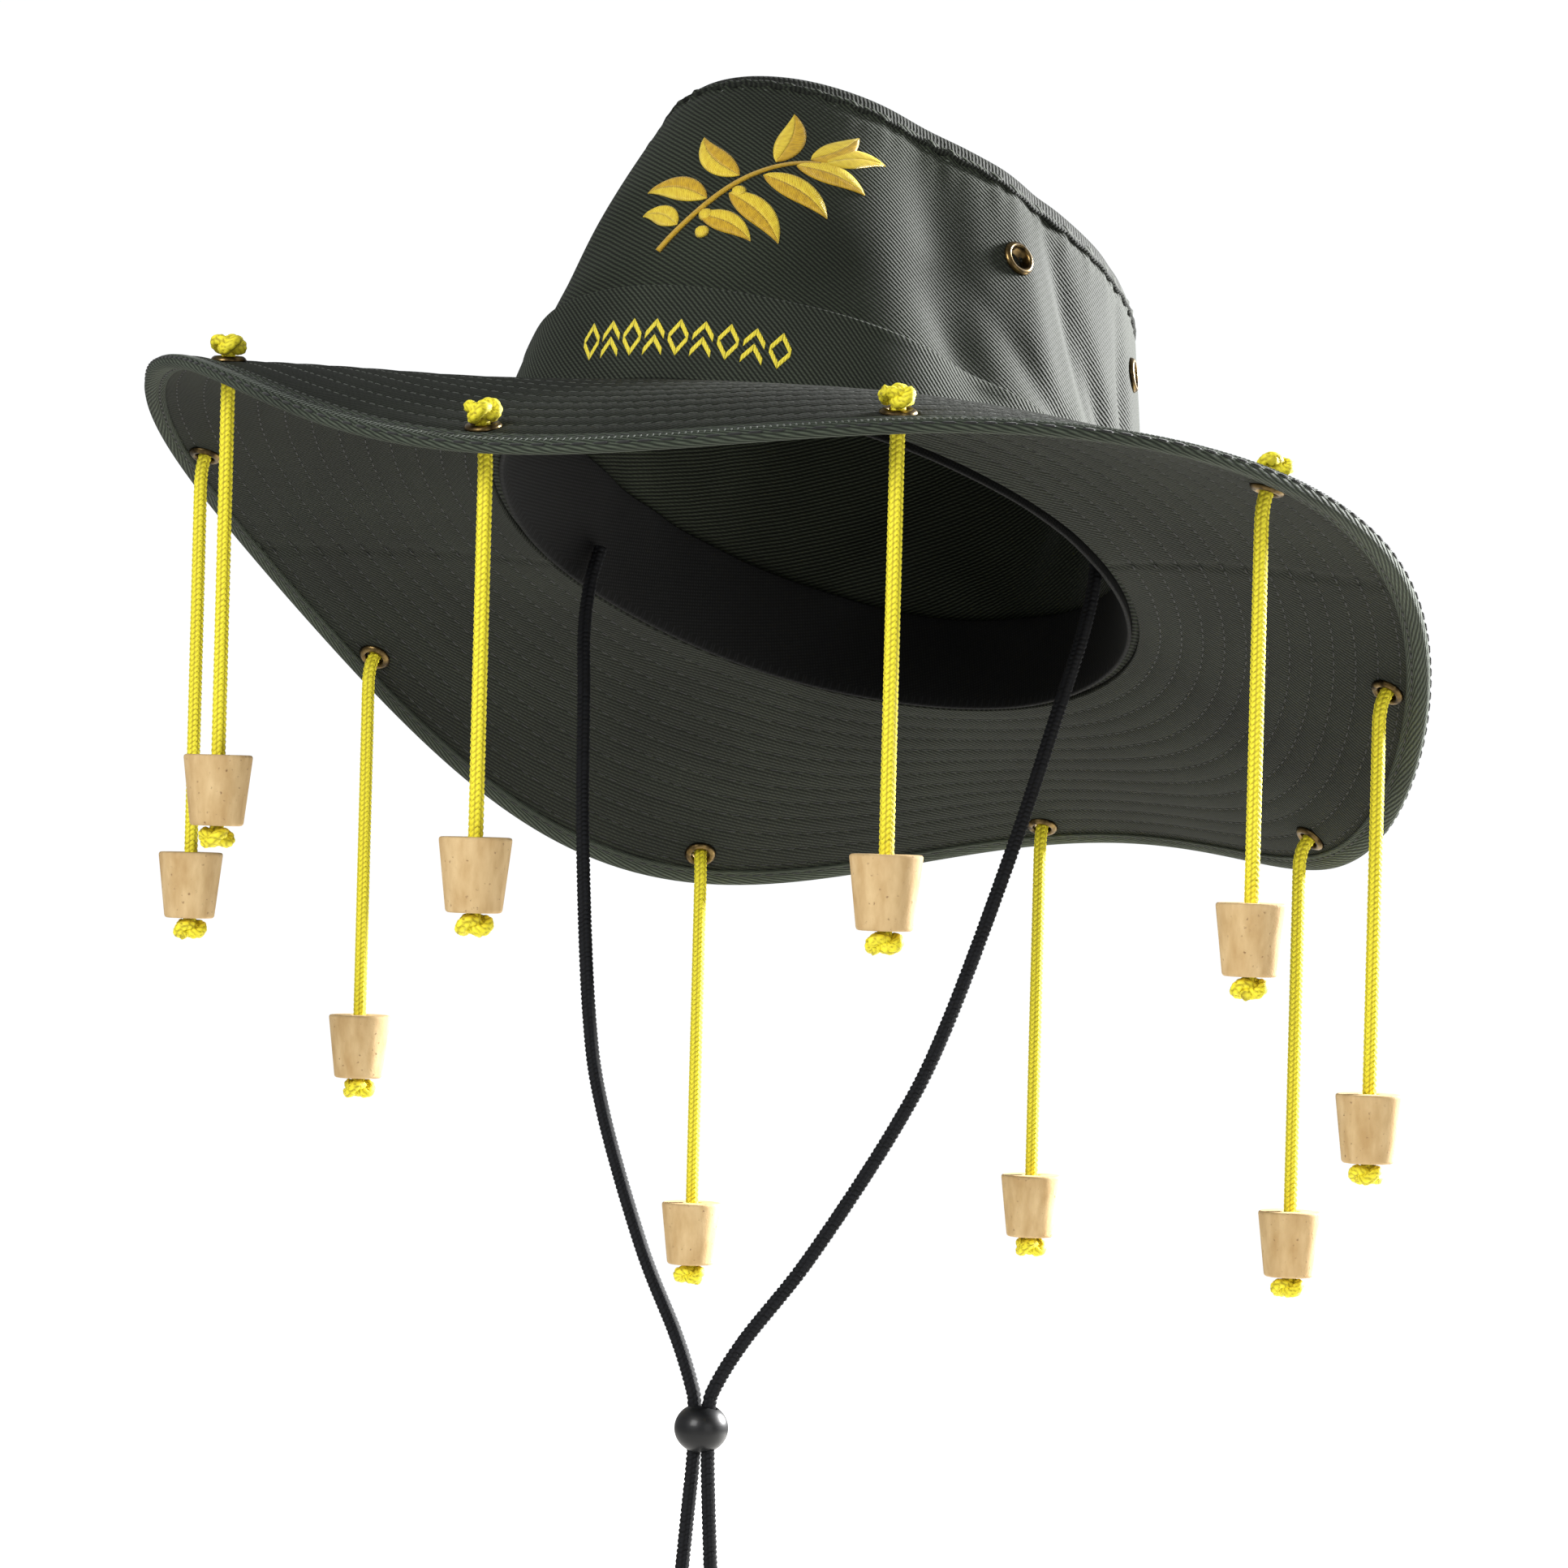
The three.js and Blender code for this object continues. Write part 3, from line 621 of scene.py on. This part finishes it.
def hang_cork(index):
    number = index + 1
    seat, across = brim_seat(index)
    seat, across = WEAR @ seat, worn_way(across)
    bend = [seat - across * out - UP * down for out, down in CORD_BEND]
    start = bend[-1]
    cork_top = seat.z - CORKS[index][1]
    end_knot = Vector((start.x, start.y, cork_top - CORK_LENGTH - END_KNOT_SEAT))
    top_knot = seat + across * TOP_KNOT_SEAT
    hang = [start.lerp(Vector((start.x, start.y, cork_top)), t / 8) for t in range(1, 9)]
    path = smooth_path([top_knot, *bend, *hang, end_knot], BRAID_STEP)
    cord = braided_tube(f"yellow_cord_{number}", path, CORD_RADIUS, YELLOW_YARN)
    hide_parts(f"cork_cord_{number}")
    rng = random.Random(40 + index)
    lean = Vector((rng.uniform(-1, 1), rng.uniform(-1, 1), 0)).normalized()
    knots = knot_and_tail(
        f"brim_knot_{number}", top_knot, across, across * 0.9 + lean * 4.4, rng.uniform(0, 6.28),
        YELLOW_YARN)
    knots += knot_and_tail(
        f"cork_knot_{number}", end_knot, UP, lean * 3.4 - UP * 1.6, rng.uniform(0, 6.28),
        YELLOW_YARN)
    cork = spun(
        f"cork_stopper_{number}", CORK_PROFILE, Vector((start.x, start.y, cork_top - CORK_LENGTH)), UP,
        CORK, "cork")
    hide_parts(f"cork_{number}")


for index in range(len(CORKS)):
    hang_cork(index)


# Chin cord. The route is the wearer's left strand from the sweatband down, in mm.

CHIN_RADIUS = 1.8
CHIN_STEP, CHIN_PITCH = 1.4 * BRAID_STEP, 1.3
STRAND_OFFSET = 2.05  # of each strand in the bead, from its middle
CHIN_ROUTE = [
    (73.4, 14.4, 2.9), (74.2, 10.6, -7.3), (73.2, 6.5, -20), (70, 1.7, -37), (62.7, -9.5, -75),
    (51.8, -22.8, -120), (42.4, -30.6, -145), (24.5, -40.5, -178), (10.2, -47, -199), (3.6, -50, -211),
    (STRAND_OFFSET, -50.6, -217), (STRAND_OFFSET, -50.6, -229), (3.0, -51, -243), (4.6, -51.4, -264),
]
BEAD_MIDDLE = Vector((0, -50.6, -222))
BEAD_RADIUS, BEAD_HALF_HEIGHT, BEAD_BORE = 6.8, 6.3, 2.15
CHIN_KNOT_SCALE = 0.98


def chin_strand(side, name, node, bead=None):
    points = [Vector((side * x, y, z)) for x, y, z in CHIN_ROUTE]
    path = smooth_path(points, CHIN_STEP)
    strand = braided_tube(name, path, CHIN_RADIUS, BLACK_YARN, around=18, pitch=CHIN_PITCH)
    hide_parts(node)
    knots = knot_and_tail(
        name + "_knot", points[-1], UP, Vector((side * 1.2, -0.6, -5.5)), side * 0.9, BLACK_YARN,
        CHIN_KNOT_SCALE)


def lathed_bead():
    """The bead: an oval of turned wood with a slot through it that both strands run in."""
    bm = bmesh.new()
    bmesh.ops.create_uvsphere(bm, u_segments=64, v_segments=40, radius=1.0)
    bmesh.ops.scale(bm, vec=Vector((BEAD_RADIUS, BEAD_RADIUS, BEAD_HALF_HEIGHT)), verts=bm.verts)
    doomed = []
    for face in bm.faces:
        spot = face.calc_center_median()
        beyond = max(abs(spot.x) - STRAND_OFFSET, 0)
        if math.hypot(beyond, spot.y) < BEAD_BORE:
            doomed.append(face)
    bmesh.ops.delete(bm, geom=doomed, context="FACES")
    for vert in [v for v in bm.verts if v.is_boundary]:
        nearest = Vector((min(max(vert.co.x, -STRAND_OFFSET), STRAND_OFFSET), 0, 0))
        away = Vector((vert.co.x, vert.co.y, 0)) - nearest
        spot = nearest + away.normalized() * BEAD_BORE
        height = math.sqrt(max(0.0, 1 - (spot.x ** 2 + spot.y ** 2) / BEAD_RADIUS ** 2)) * BEAD_HALF_HEIGHT
        vert.co = Vector((spot.x, spot.y, math.copysign(height, vert.co.z)))
    bmesh.ops.bridge_loops(bm, edges=[e for e in bm.edges if e.is_boundary])
    face_outwards(bm)
    placed = Matrix.Translation(BEAD_MIDDLE * MM) @ Matrix.Scale(MM, 4)
    bmesh.ops.transform(bm, matrix=placed, verts=bm.verts)
    bead = finish_piece("toggle_bead", bm, LACQUER, "bead")
    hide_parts("chin_bead")
    return bead


chin_strand(1, "chin_strand_left", "chin_cord_left", lathed_bead())
chin_strand(-1, "chin_strand_right", "chin_cord_right")


# The cloth, shaped as sewn: seams pull in, and the layers between them puff

WALL_COLUMNS, WALL_ROWS, LINING_ROWS = 440, 72, 20
WALL_FOOT, WALL_SPAN = 0.006, 0.994  # shares of the wall where it starts, and that it covers
TIP_SEAT = CLOTH * 0.95  # the tip's face over the CAD tip's underside
WELT_SPREAD, WELT_END = 0.965, 1.012  # where the tip panel starts to roll over its seam, and ends
BRIM_COLUMNS = 440
BRIM_HALF, BRIM_EDGE = CLOTH / 2 - 0.1, 1.3  # the brim's half thickness, and its edge from the rim
QUILT_ROWS, QUILT_STEPS = 12, 8  # rows of stitching across the brim, and grid steps between two
QUILT_PUFF = 0.36
SIDE_SEAM = 92.0
TAPE_WIDTH, TAPE_LIFT = 5.5, 1.75
STITCH_PITCH, STITCH_LENGTH = 3.7, 2.8
STITCH_BATCH = 24  # an operator slows as its mesh grows, so stitches are made a few at a time
HOLE_RADIUS = 3.3
BAND_TOP, BAND_OFFSET, BAND_THICKNESS = 26.0, 0.35, 1.3
VENT_HOLE, VENT_FLANGE = 3.0, 4.75
FLANGE_DOME = [(0.1, 0.85), (0.3, 1.1), (0.55, 1.05), (0.8, 0.7)]  # share of its width, rise in mm


def ring_angle(u):
    return 2 * pi * u - pi


def open_holes(bm, seats):
    """Cuts a round hole through the cloth at each seat, given as its middle and axis in mm."""
    for middle, axis in seats:
        middle, axis = worn(middle), worn_way(axis)

        def reach(point):
            away = point - middle
            return (away - axis * away.dot(axis)).length / MM

        near = {v for v in bm.verts if (v.co - middle).length < 8 * MM and reach(v.co) < 6}
        faces = {f for v in near for f in v.link_faces}
        doomed = [f for f in faces if reach(f.calc_center_median()) < HOLE_RADIUS]
        bmesh.ops.delete(bm, geom=doomed, context="FACES")
        rim = [v for v in near if v.is_valid and v.is_boundary]
        for vert in rim:
            away = vert.co - middle
            height = away.dot(axis)
            flat = away - axis * height
            vert.co = middle + axis * height + flat.normalized() * HOLE_RADIUS * MM
        edges = {e for v in rim for e in v.link_edges if e.is_boundary}
        bmesh.ops.bridge_loops(bm, edges=list(edges))
    face_outwards(bm)


def band_ripple(angle, height):
    return 0.35 * bump(height, 25.2, 0.9) + 0.25 * sin(angle * 5 + height * 0.12)


def crown_seat(degrees, share):
    angle = radians(degrees)
    along, around = slopes(crown_point, angle, share, 0.03)
    return crown_point(angle, share, CLOTH / 2), around.cross(along).normalized()


def seam_pucker(angle, share):
    """How far the wall draws in and out below the tip's seam."""
    below = (1 - share) * TIP_HEIGHT
    beat = sin(angle * 61 + 2.1 * sin(angle * 7)) + 0.6 * sin(angle * 97 + 1.3)
    return 0.32 * beat * math.exp(-below / 5.0) - 0.75 * bump(below, 3.2, 1.3)


def closed_cloth(bm, columns, section, place, flat):
    """Cloth whose section is a closed loop of keys: place(angle, key) gives its points."""
    count = len(section)

    def at(u, v):
        return place(ring_angle(u), section[round(v * count) % count])

    def unrolled(u, v, middle):
        return flat(ring_angle(u), section[min(round(v * count), count - 1)], ring_angle(middle))

    mapped_grid(bm, columns, count, at, unrolled)
    bmesh.ops.remove_doubles(bm, verts=[v for v in bm.verts if v.is_boundary], dist=1e-6)
    face_outwards(bm)


def crown_wall():
    bm = bmesh.new()
    outer = [(WALL_FOOT + WALL_SPAN * row / WALL_ROWS, True) for row in range(WALL_ROWS + 1)]
    inner = [(1 - WALL_SPAN * row / LINING_ROWS, False) for row in range(LINING_ROWS + 1)]

    def place(angle, key):
        share, outside = key
        return worn(crown_point(angle, share, -seam_pucker(angle, share) if outside else CLOTH))

    def flat(angle, key, _):
        return angle * WALL_RADIUS, key[0] * TIP_HEIGHT

    closed_cloth(bm, WALL_COLUMNS, outer + inner, place, flat)
    open_holes(bm, [crown_seat(*seat) for seat in CROWN_EYELETS])
    piece = finish_piece("crown_side", bm, CROWN_TWILL, "twill")
    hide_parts("crown_wall")


def crown_tip():
    """The top panel, domed, with its crease. Its edge rolls over and is sewn down to the wall."""
    bm = bmesh.new()

    def place(u, v):
        angle = ring_angle(u)
        spread = WELT_END * v
        over = smooth((spread - WELT_SPREAD) / (WELT_END - WELT_SPREAD))
        lift = TIP_SEAT - over * 3.1 + 0.25 * sin(angle * 61) * over
        rib = 0.5 * bump(spread, WELT_SPREAD - 0.006, 0.012)
        return worn(tip_point(angle, spread, lift + rib))

    def flat(u, v, _):
        angle = ring_angle(u)
        return sin(angle) * v * TIP_X, cos(angle) * v * TIP_Y

    mapped_grid(bm, 360, 60, place, flat)
    middle = worn(tip_point(0, 0, TIP_SEAT))
    bmesh.ops.remove_doubles(bm, verts=[v for v in bm.verts if (v.co - middle).length < 1e-4], dist=1e-4)
    thicken(bm, 1.6 * MM)
    piece = finish_piece("crown_top", bm, TIP_TWILL_SHADED, "twill")
    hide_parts("crown_tip")


def sewn_strip(name, node, low, high, offset, thickness, ripple, cloth, slot):
    """A folded band of cloth round the crown's wall: offset is out from the wall's face."""
    bm = bmesh.new()
    corners = rounded([(0, low), (thickness, low), (thickness, high), (0, high)], thickness * 0.48, 3)
    section = []
    for start, end in zip(corners, corners[1:] + corners[:1]):
        count = max(1, round((end - start).length / 2.0))
        section += [start.lerp(end, step / count) for step in range(count)]

    def place(angle, key):
        out, height = key
        lift = out + offset + ripple(angle, height)
        return worn(crown_point(angle, height / crown_height(angle), -lift))

    def flat(angle, key, _):
        return angle * (WALL_RADIUS + 6), key[1]

    closed_cloth(bm, 400, section, place, flat)
    piece = finish_piece(name, bm, cloth, slot)
    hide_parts(node)


def quilt(share):
    """The puff of the cloth between two rows of stitching, in mm."""
    channel = (share * (QUILT_ROWS + 1)) % 1.0
    return QUILT_PUFF * (sin(pi * channel) ** 0.55 - 0.55)


def brim_cloth():
    bm = bmesh.new()
    rows = (QUILT_ROWS + 1) * QUILT_STEPS
    top = [(row / rows, 1) for row in range(rows + 1)]
    under = [(1 - row / rows, -1) for row in range(rows + 1)]

    def place(angle, key):
        out, side = key
        share = (1 - BRIM_EDGE / brim_width(angle)) * out
        seam = 0.6 * bump(abs(math.degrees(angle)), SIDE_SEAM, 0.7)
        fade = smooth((1 - out) * 14) * smooth(out * 20)
        lift = BRIM_HALF + quilt(out) * fade - seam
        return worn(brim_middle(angle, share) + brim_normal(angle, share) * lift * side)

    def flat(angle, key, middle):
        point = brim_middle(angle, key[0])
        if abs(math.degrees(middle)) > SIDE_SEAM:
            return point.y, point.x
        return point.x, point.y

    closed_cloth(bm, BRIM_COLUMNS, top + under, place, flat)
    open_holes(bm, [brim_seat(index) for index in range(len(CORKS))])
    piece = finish_piece("brim_quilted", bm, BRIM_TWILL_SHADED, "twill")
    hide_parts("brim")


def edge_tape():
    """Twill tape folded over the rim, drawn in where the row of stitches holds it."""
    half = [
        (TAPE_WIDTH, 1.05), (TAPE_WIDTH, 1.45), (TAPE_WIDTH - 0.3, 1.65), (4.9, 1.65), (4.4, 1.5),
        (4.0, 1.36), (3.6, 1.5), (3.1, 1.68), (2.3, TAPE_LIFT), (1.4, 1.7), (0.6, 1.5), (0.1, 1.05),
        (-0.1, 0.5),
    ]
    section = half + [(inset, -lift) for inset, lift in reversed(half)]
    lengths = {key: 0.7 * index for index, key in enumerate(section)}
    bm = bmesh.new()

    def place(angle, key):
        return worn(brim_point(angle, *key))

    def flat(angle, key, _):
        return angle * RIM_X, lengths[key]

    closed_cloth(bm, 640, section, place, flat)
    piece = finish_piece("edge_tape", bm, TAPE_TWILL, "edge_tape")
    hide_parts("brim_binding")


# Stitches

def lay_stitches(name, rows, radius, cotton):
    """Rows of stitches, small flattened beads, each given as (middle, along, out) in the level
    hat's mm, where along is half its length."""
    bm = bmesh.new()
    stitches = [stitch for row in rows for stitch in row]
    for first in range(0, len(stitches), STITCH_BATCH):
        part = bmesh.new()
        part.loops.layers.uv.new("UVMap")
        for middle, along, out in stitches[first:first + STITCH_BATCH]:
            length = along.length
            way = worn_way(along / length)
            side = worn_way(out).cross(way).normalized()
            up = way.cross(side)
            turned = Matrix((side * radius * MM, up * radius * 0.8 * MM, way * length * MM)).transposed()
            placed = Matrix.Translation(worn(middle)) @ turned.to_4x4()
            bmesh.ops.create_uvsphere(
                part, u_segments=6, v_segments=3, radius=1.0, matrix=placed, calc_uvs=True)
        mesh = bpy.data.meshes.new("row")
        part.to_mesh(mesh)
        part.free()
        bm.from_mesh(mesh)
        bpy.data.meshes.remove(mesh)
    finish_piece(name, bm, cotton, "edge_tape")


def ring_stitches(surface, seed, pitch=STITCH_PITCH, length=STITCH_LENGTH, radial=False):
    """A row round the hat along surface(angle), which gives a point and the way out of the cloth."""
    rng = random.Random(seed)
    row = []
    angle = -pi
    while angle < pi:
        here, out = surface(angle)
        ahead = surface(angle + 0.01)[0] - here
        speed = ahead.length / 0.01
        along = ahead.normalized()
        if radial:
            along = out.cross(along)
        row.append((here, along * length / 2, out))
        rng.random()  # a spare draw, which keeps the spacing as it was matched
        angle += pitch * rng.uniform(0.93, 1.07) / speed
    return row


def brim_line(side, lift, inset=None, share=None):
    def at(angle):
        width = brim_width(angle)
        out = share * (1 - BRIM_EDGE / width) if inset is None else 1 - inset / width
        normal = brim_normal(angle, out)
        return brim_middle(angle, out) + normal * lift * side, normal * side
    return at


def wall_line(height_from_top, lift):
    def at(angle):
        share = 1 - height_from_top / crown_height(angle)
        along, around = slopes(crown_plain, angle, share, 0.02)
        out = around.cross(along).normalized()
        return crown_point(angle, share, -lift - seam_pucker(angle, share)), out
    return at


def sew_brim():
    """The quilting, then the rows on the edge tape: along it, on the rim, and across its top."""
    groove = BRIM_HALF - QUILT_PUFF * 0.55 + 0.06
    shares = [k / (QUILT_ROWS + 1) for k in range(1, QUILT_ROWS + 1)]
    top = [ring_stitches(brim_line(1, groove, share=s), k) for k, s in enumerate(shares)]
    lay_stitches("brim_stitches_top", top, 0.24, BRIM_THREAD)
    under = [ring_stitches(brim_line(-1, groove, share=s), 50 + k) for k, s in enumerate(shares)]
    lay_stitches("brim_stitches_under", under, 0.22, DARK_THREAD)
    dashes = [ring_stitches(brim_line(side, 1.42, inset=4.0), 90) for side in (1, -1)]
    lay_stitches("tape_stitches", dashes, 0.32, DARK_THREAD)
    rim = ring_stitches(brim_line(1, 1.1, inset=0.1), 92, 5.0, 4.1)
    lay_stitches("rim_stitches", [rim], 0.46, DARK_THREAD)
    ticks = ring_stitches(brim_line(1, 1.72, inset=1.7), 91, 1.5, 2.4, radial=True)
    lay_stitches("tape_edge_ticks", [ticks], 0.26, EDGE_THREAD)


def sew_crown():
    row = ring_stitches(wall_line(3.2, -0.05), 7, 3.0, 2.2)
    lay_stitches("crown_seam_stitches", [row], 0.26, EDGE_THREAD)


def eyelet_ring(name, node, seat, half, hole, flange):
    """A pressed brass eyelet: a barrel through the cloth with a domed flange on each face."""
    middle, axis = seat
    dome = [(hole + share * (flange - hole), half + rise) for share, rise in FLANGE_DOME]
    profile = [
        (hole, 0.0), (hole, half + 0.35), *dome, (flange, half + 0.1), (flange - 0.1, half - 0.1),
        (hole + 0.3, half - 0.1), (hole + 0.3, 0.0),
    ]
    full = profile + [(r, -h) for r, h in reversed(profile[1:-1])]
    piece = spun(name, full, WEAR @ middle, worn_way(axis), BRASS, "eyelet_brass", steps=40)
    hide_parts(node)


crown_wall()
crown_tip()
sewn_strip(
    "hat_band_folded", "hat_band", 1.4, BAND_TOP, BAND_OFFSET, BAND_THICKNESS, band_ripple, BAND_TWILL,
    "twill")
sewn_strip(
    "sweatband_sewn", "sweatband", -1.6, BAND_TOP, -CLOTH - 1.7, 1.2,
    lambda angle, height: 0.3 * sin(angle * 7 + height * 0.1), SWEATBAND_CLOTH, "sweatband")
brim_cloth()
edge_tape()
sew_brim()
sew_crown()
for index, (degrees, share) in enumerate(CROWN_EYELETS):
    eyelet_ring(
        f"vent_ring_{index + 1}", f"crown_eyelet_{index + 1}", crown_seat(degrees, share), CLOTH / 2,
        VENT_HOLE, VENT_FLANGE)
for index in range(len(CORKS)):
    eyelet_ring(
        f"brim_ring_{index + 1}", f"brim_eyelet_{index + 1}", brim_seat(index), CLOTH / 2 + 0.1,
        EYELET_HOLE, EYELET_FLANGE)


# A leafy sprig embroidered on the crown's front, and a row of plain shapes printed on the band

SPRIG_ANGLE, SPRIG_SHARE = radians(8.0), 0.635
SPRIG_WALL = 94.0  # turns millimetres up the wall into shares
PRINT_ANGLE, PRINT_HEIGHT, PRINT_LIFT = radians(5.5), 12.2, 0.07
PRINT_RADIUS = 87.0  # turns millimetres along the print into angles
SATIN_SLANT, SATIN_WIDTH = 0.7, 2.4


def on_crown(a, h, lift):
    """A point a mm to the wearer's left of the sprig's middle and h mm over it, off the cloth."""
    share = SPRIG_SHARE + h / SPRIG_WALL
    speed = (crown_plain(SPRIG_ANGLE + 0.01, share) - crown_plain(SPRIG_ANGLE, share)).length / 0.01
    angle = SPRIG_ANGLE + a / speed
    return worn(crown_point(angle, share, -lift - seam_pucker(angle, share)))


def on_band(a, h):
    angle = PRINT_ANGLE + a / PRINT_RADIUS
    height = PRINT_HEIGHT + h
    out = BAND_OFFSET + BAND_THICKNESS + band_ripple(angle, height) + PRINT_LIFT
    return worn(crown_point(angle, height / crown_height(angle), -out))


def satin_strip(bm, line, half_width, length, sides=(-1, 1), rise=0.55):
    """A strip of satin stitch: line(t) is its middle in mm on the crown, half_width(t) its half
    width, sides the part of it that is filled. Its threads lie slantwise across it."""
    low, high = sides

    def place(u, v):
        s = low + (high - low) * v
        here = line(u)
        way = (line(u + 0.01) - here).normalized()
        spot = here + Vector((-way.y, way.x)) * s * half_width(u)
        crown = math.sqrt(max(0.0, 1 - s * s))
        rib = 0.16 * bump(s, 0, 0.16) if sides != (-1, 1) else 0
        return on_crown(spot.x, spot.y, 0.12 + (rise * crown - rib) * min(1.0, half_width(u)))

    def flat(u, v, _):
        s = low + (high - low) * v
        return u * length + SATIN_SLANT * s * SATIN_WIDTH, s * SATIN_WIDTH

    mapped_grid(bm, max(6, round(length / 0.8)), 6, place, flat, close=False)


# where each leaf leaves the stem, its heading, length, half width and bend
SPRIG_LEAVES = [
    (0.14, 168, 13, 3.0, -2.5), (0.22, -28, 16, 3.2, 2.4), (0.32, 176, 19, 3.6, -3.0),
    (0.40, -44, 20, 3.6, 3.0), (0.50, 132, 18, 3.6, 3.0), (0.60, -30, 20, 3.6, 3.0),
    (0.70, 96, 17, 3.5, -2.5), (0.80, -12, 18, 3.4, 2.6), (0.90, 60, 15, 3.2, -2.0),
    (0.99, 22, 15, 3.1, 2.2),
]
SPRIG_BERRIES = [(0.2, 5.5), (0.31, -5.0), (0.5, -4.2)]  # place on the stem, and how far out


def sprig():
    pale, deep = bmesh.new(), bmesh.new()

    def stem(t):
        return Vector((-15 + 34 * t, -23 + 58 * t - 25 * t * t))

    satin_strip(deep, stem, lambda t: 0.95 - 0.35 * t, 54, rise=0.7)
    for t, heading, length, half, bend in SPRIG_LEAVES:
        foot = stem(t)
        turn = radians(heading)
        way = Vector((cos(turn), sin(turn)))
        side = Vector((-way.y, way.x))

        def vein(s):
            sway = bend * sin(pi * min(max(s, 0), 1) * 0.8)
            return foot + way * (1.5 + length * s) + side * sway

        def half_width(s):
            return half * max(0.02, sin(pi * min(s, 1.0) ** 0.8)) ** 0.85

        satin_strip(pale, vein, half_width, length, (0, 1))
        satin_strip(deep if half > 3.1 else pale, vein, half_width, length, (-1, 0))
    for t, reach in SPRIG_BERRIES:
        foot = stem(t)
        satin_strip(
            pale, lambda s: foot + Vector((reach * 0.4 + 3.6 * s, -abs(reach) * 0.75 - 1.4 * s)),
            lambda s: 2.0 * max(0.02, sin(pi * min(s, 1.0))) ** 0.5, 3.6, rise=0.8)
    for name, bm, gold in (("sprig_pale_gold", pale, GOLD_PALE), ("sprig_deep_gold", deep, GOLD_DEEP)):
        thicken(bm, 0.3 * MM)
        finish_piece(name, bm, gold, "yellow_cord")


def printed_shapes():
    """Nine plain outlines in yellow ink, diamonds and chevrons by turns."""
    bm = bmesh.new()

    def stroke(start, end, rise):
        start, end, rise = Vector(start), Vector(end), Vector(rise)

        def place(u, v):
            spot = start.lerp(end, u) + rise * v
            return on_band(spot.x, spot.y)

        mapped_grid(bm, 6, 3, place, lambda u, v, _: (u * 4, v * 4), close=False)

    pitch, tall, wide, thick = 6.5, 4.9, 2.7, 1.9
    for index in range(-4, 5):
        middle = index * pitch
        if index % 2:
            bends = [(-tall, -tall + 3.6), (-tall + 4.2, -tall + 7.8)]
        else:
            bends = [(-thick / 2, -tall), (-thick / 2, tall - thick)]
        for ends, bend in bends:
            stroke((middle - wide, ends), (middle, bend), (0, thick))
            stroke((middle, bend), (middle + wide, ends), (0, thick))
    thicken(bm, 0.1 * MM)
    finish_piece("band_print", bm, PRINT_INK, "yellow_cord")


sprig()
printed_shapes()


# Floor and light

FLOOR = -0.55


def lay_floor():
    """A pale round floor under the hat. The sky behind it is as pale, so no edge shows."""
    bm = bmesh.new()
    bmesh.ops.create_circle(bm, cap_ends=True, segments=64, radius=3.0)
    bmesh.ops.translate(bm, vec=Vector((0, 0, FLOOR)), verts=bm.verts)
    paper, tree, shader = material("matt_floor_paper", Roughness=0.95)
    place = add(tree, "TexCoord", out="Object")
    mottle = add(tree, "TexNoise", {"Vector": place, "Scale": 3.0, "Detail": 2.0})
    colour = add(tree, "Mix", {"Factor": mottle, 6: "#b9b7b3", 7: "#c4c2be"}, data_type="RGBA")
    tree.links.new(colour, shader.inputs["Base Color"])
    seen = add(tree, "LightPath", out="Is Camera Ray")
    glow = add(tree, "Math", {0: seen, 1: 1.2}, operation="MULTIPLY")
    shader.inputs["Emission Color"].default_value = linear("#ffffff")
    tree.links.new(glow, shader.inputs["Emission Strength"])
    mesh_object("studio_floor", bm, paper)


def soft_light(name, azimuth, elevation, distance, size, power):
    """A square soft box that faces the hat, azimuth counted from the front to the wearer's left."""
    turn, rise = radians(azimuth), radians(elevation)
    away = Vector((sin(turn) * cos(rise), -cos(turn) * cos(rise), sin(rise)))
    data = bpy.data.lights.new(name, "AREA")
    data.energy = power
    data.size = size
    lamp = new_object(name, data)
    lamp.location = away * distance
    lamp.rotation_euler = away.to_track_quat("Z", "Y").to_euler()


lay_floor()
soft_light("key", -8, 24, 1.8, 0.8, 23)
soft_light("fill", 60, 5, 1.9, 1.2, 5)
soft_light("back_right", 150, 14, 1.5, 0.4, 130)
bpy.context.scene.view_settings.view_transform = "Standard"
world = bpy.data.worlds.new("studio")
world.use_nodes = True
tree = world.node_tree
sky = tree.nodes["Background"]
sky.inputs["Color"].default_value = linear("#f4f5f6")
seen = add(tree, "LightPath", out="Is Camera Ray")
bright = add(tree, "Math", {0: seen, 1: 0.76, 2: 0.36}, operation="MULTIPLY_ADD")
tree.links.new(bright, sky.inputs["Strength"])
bpy.context.scene.world = world
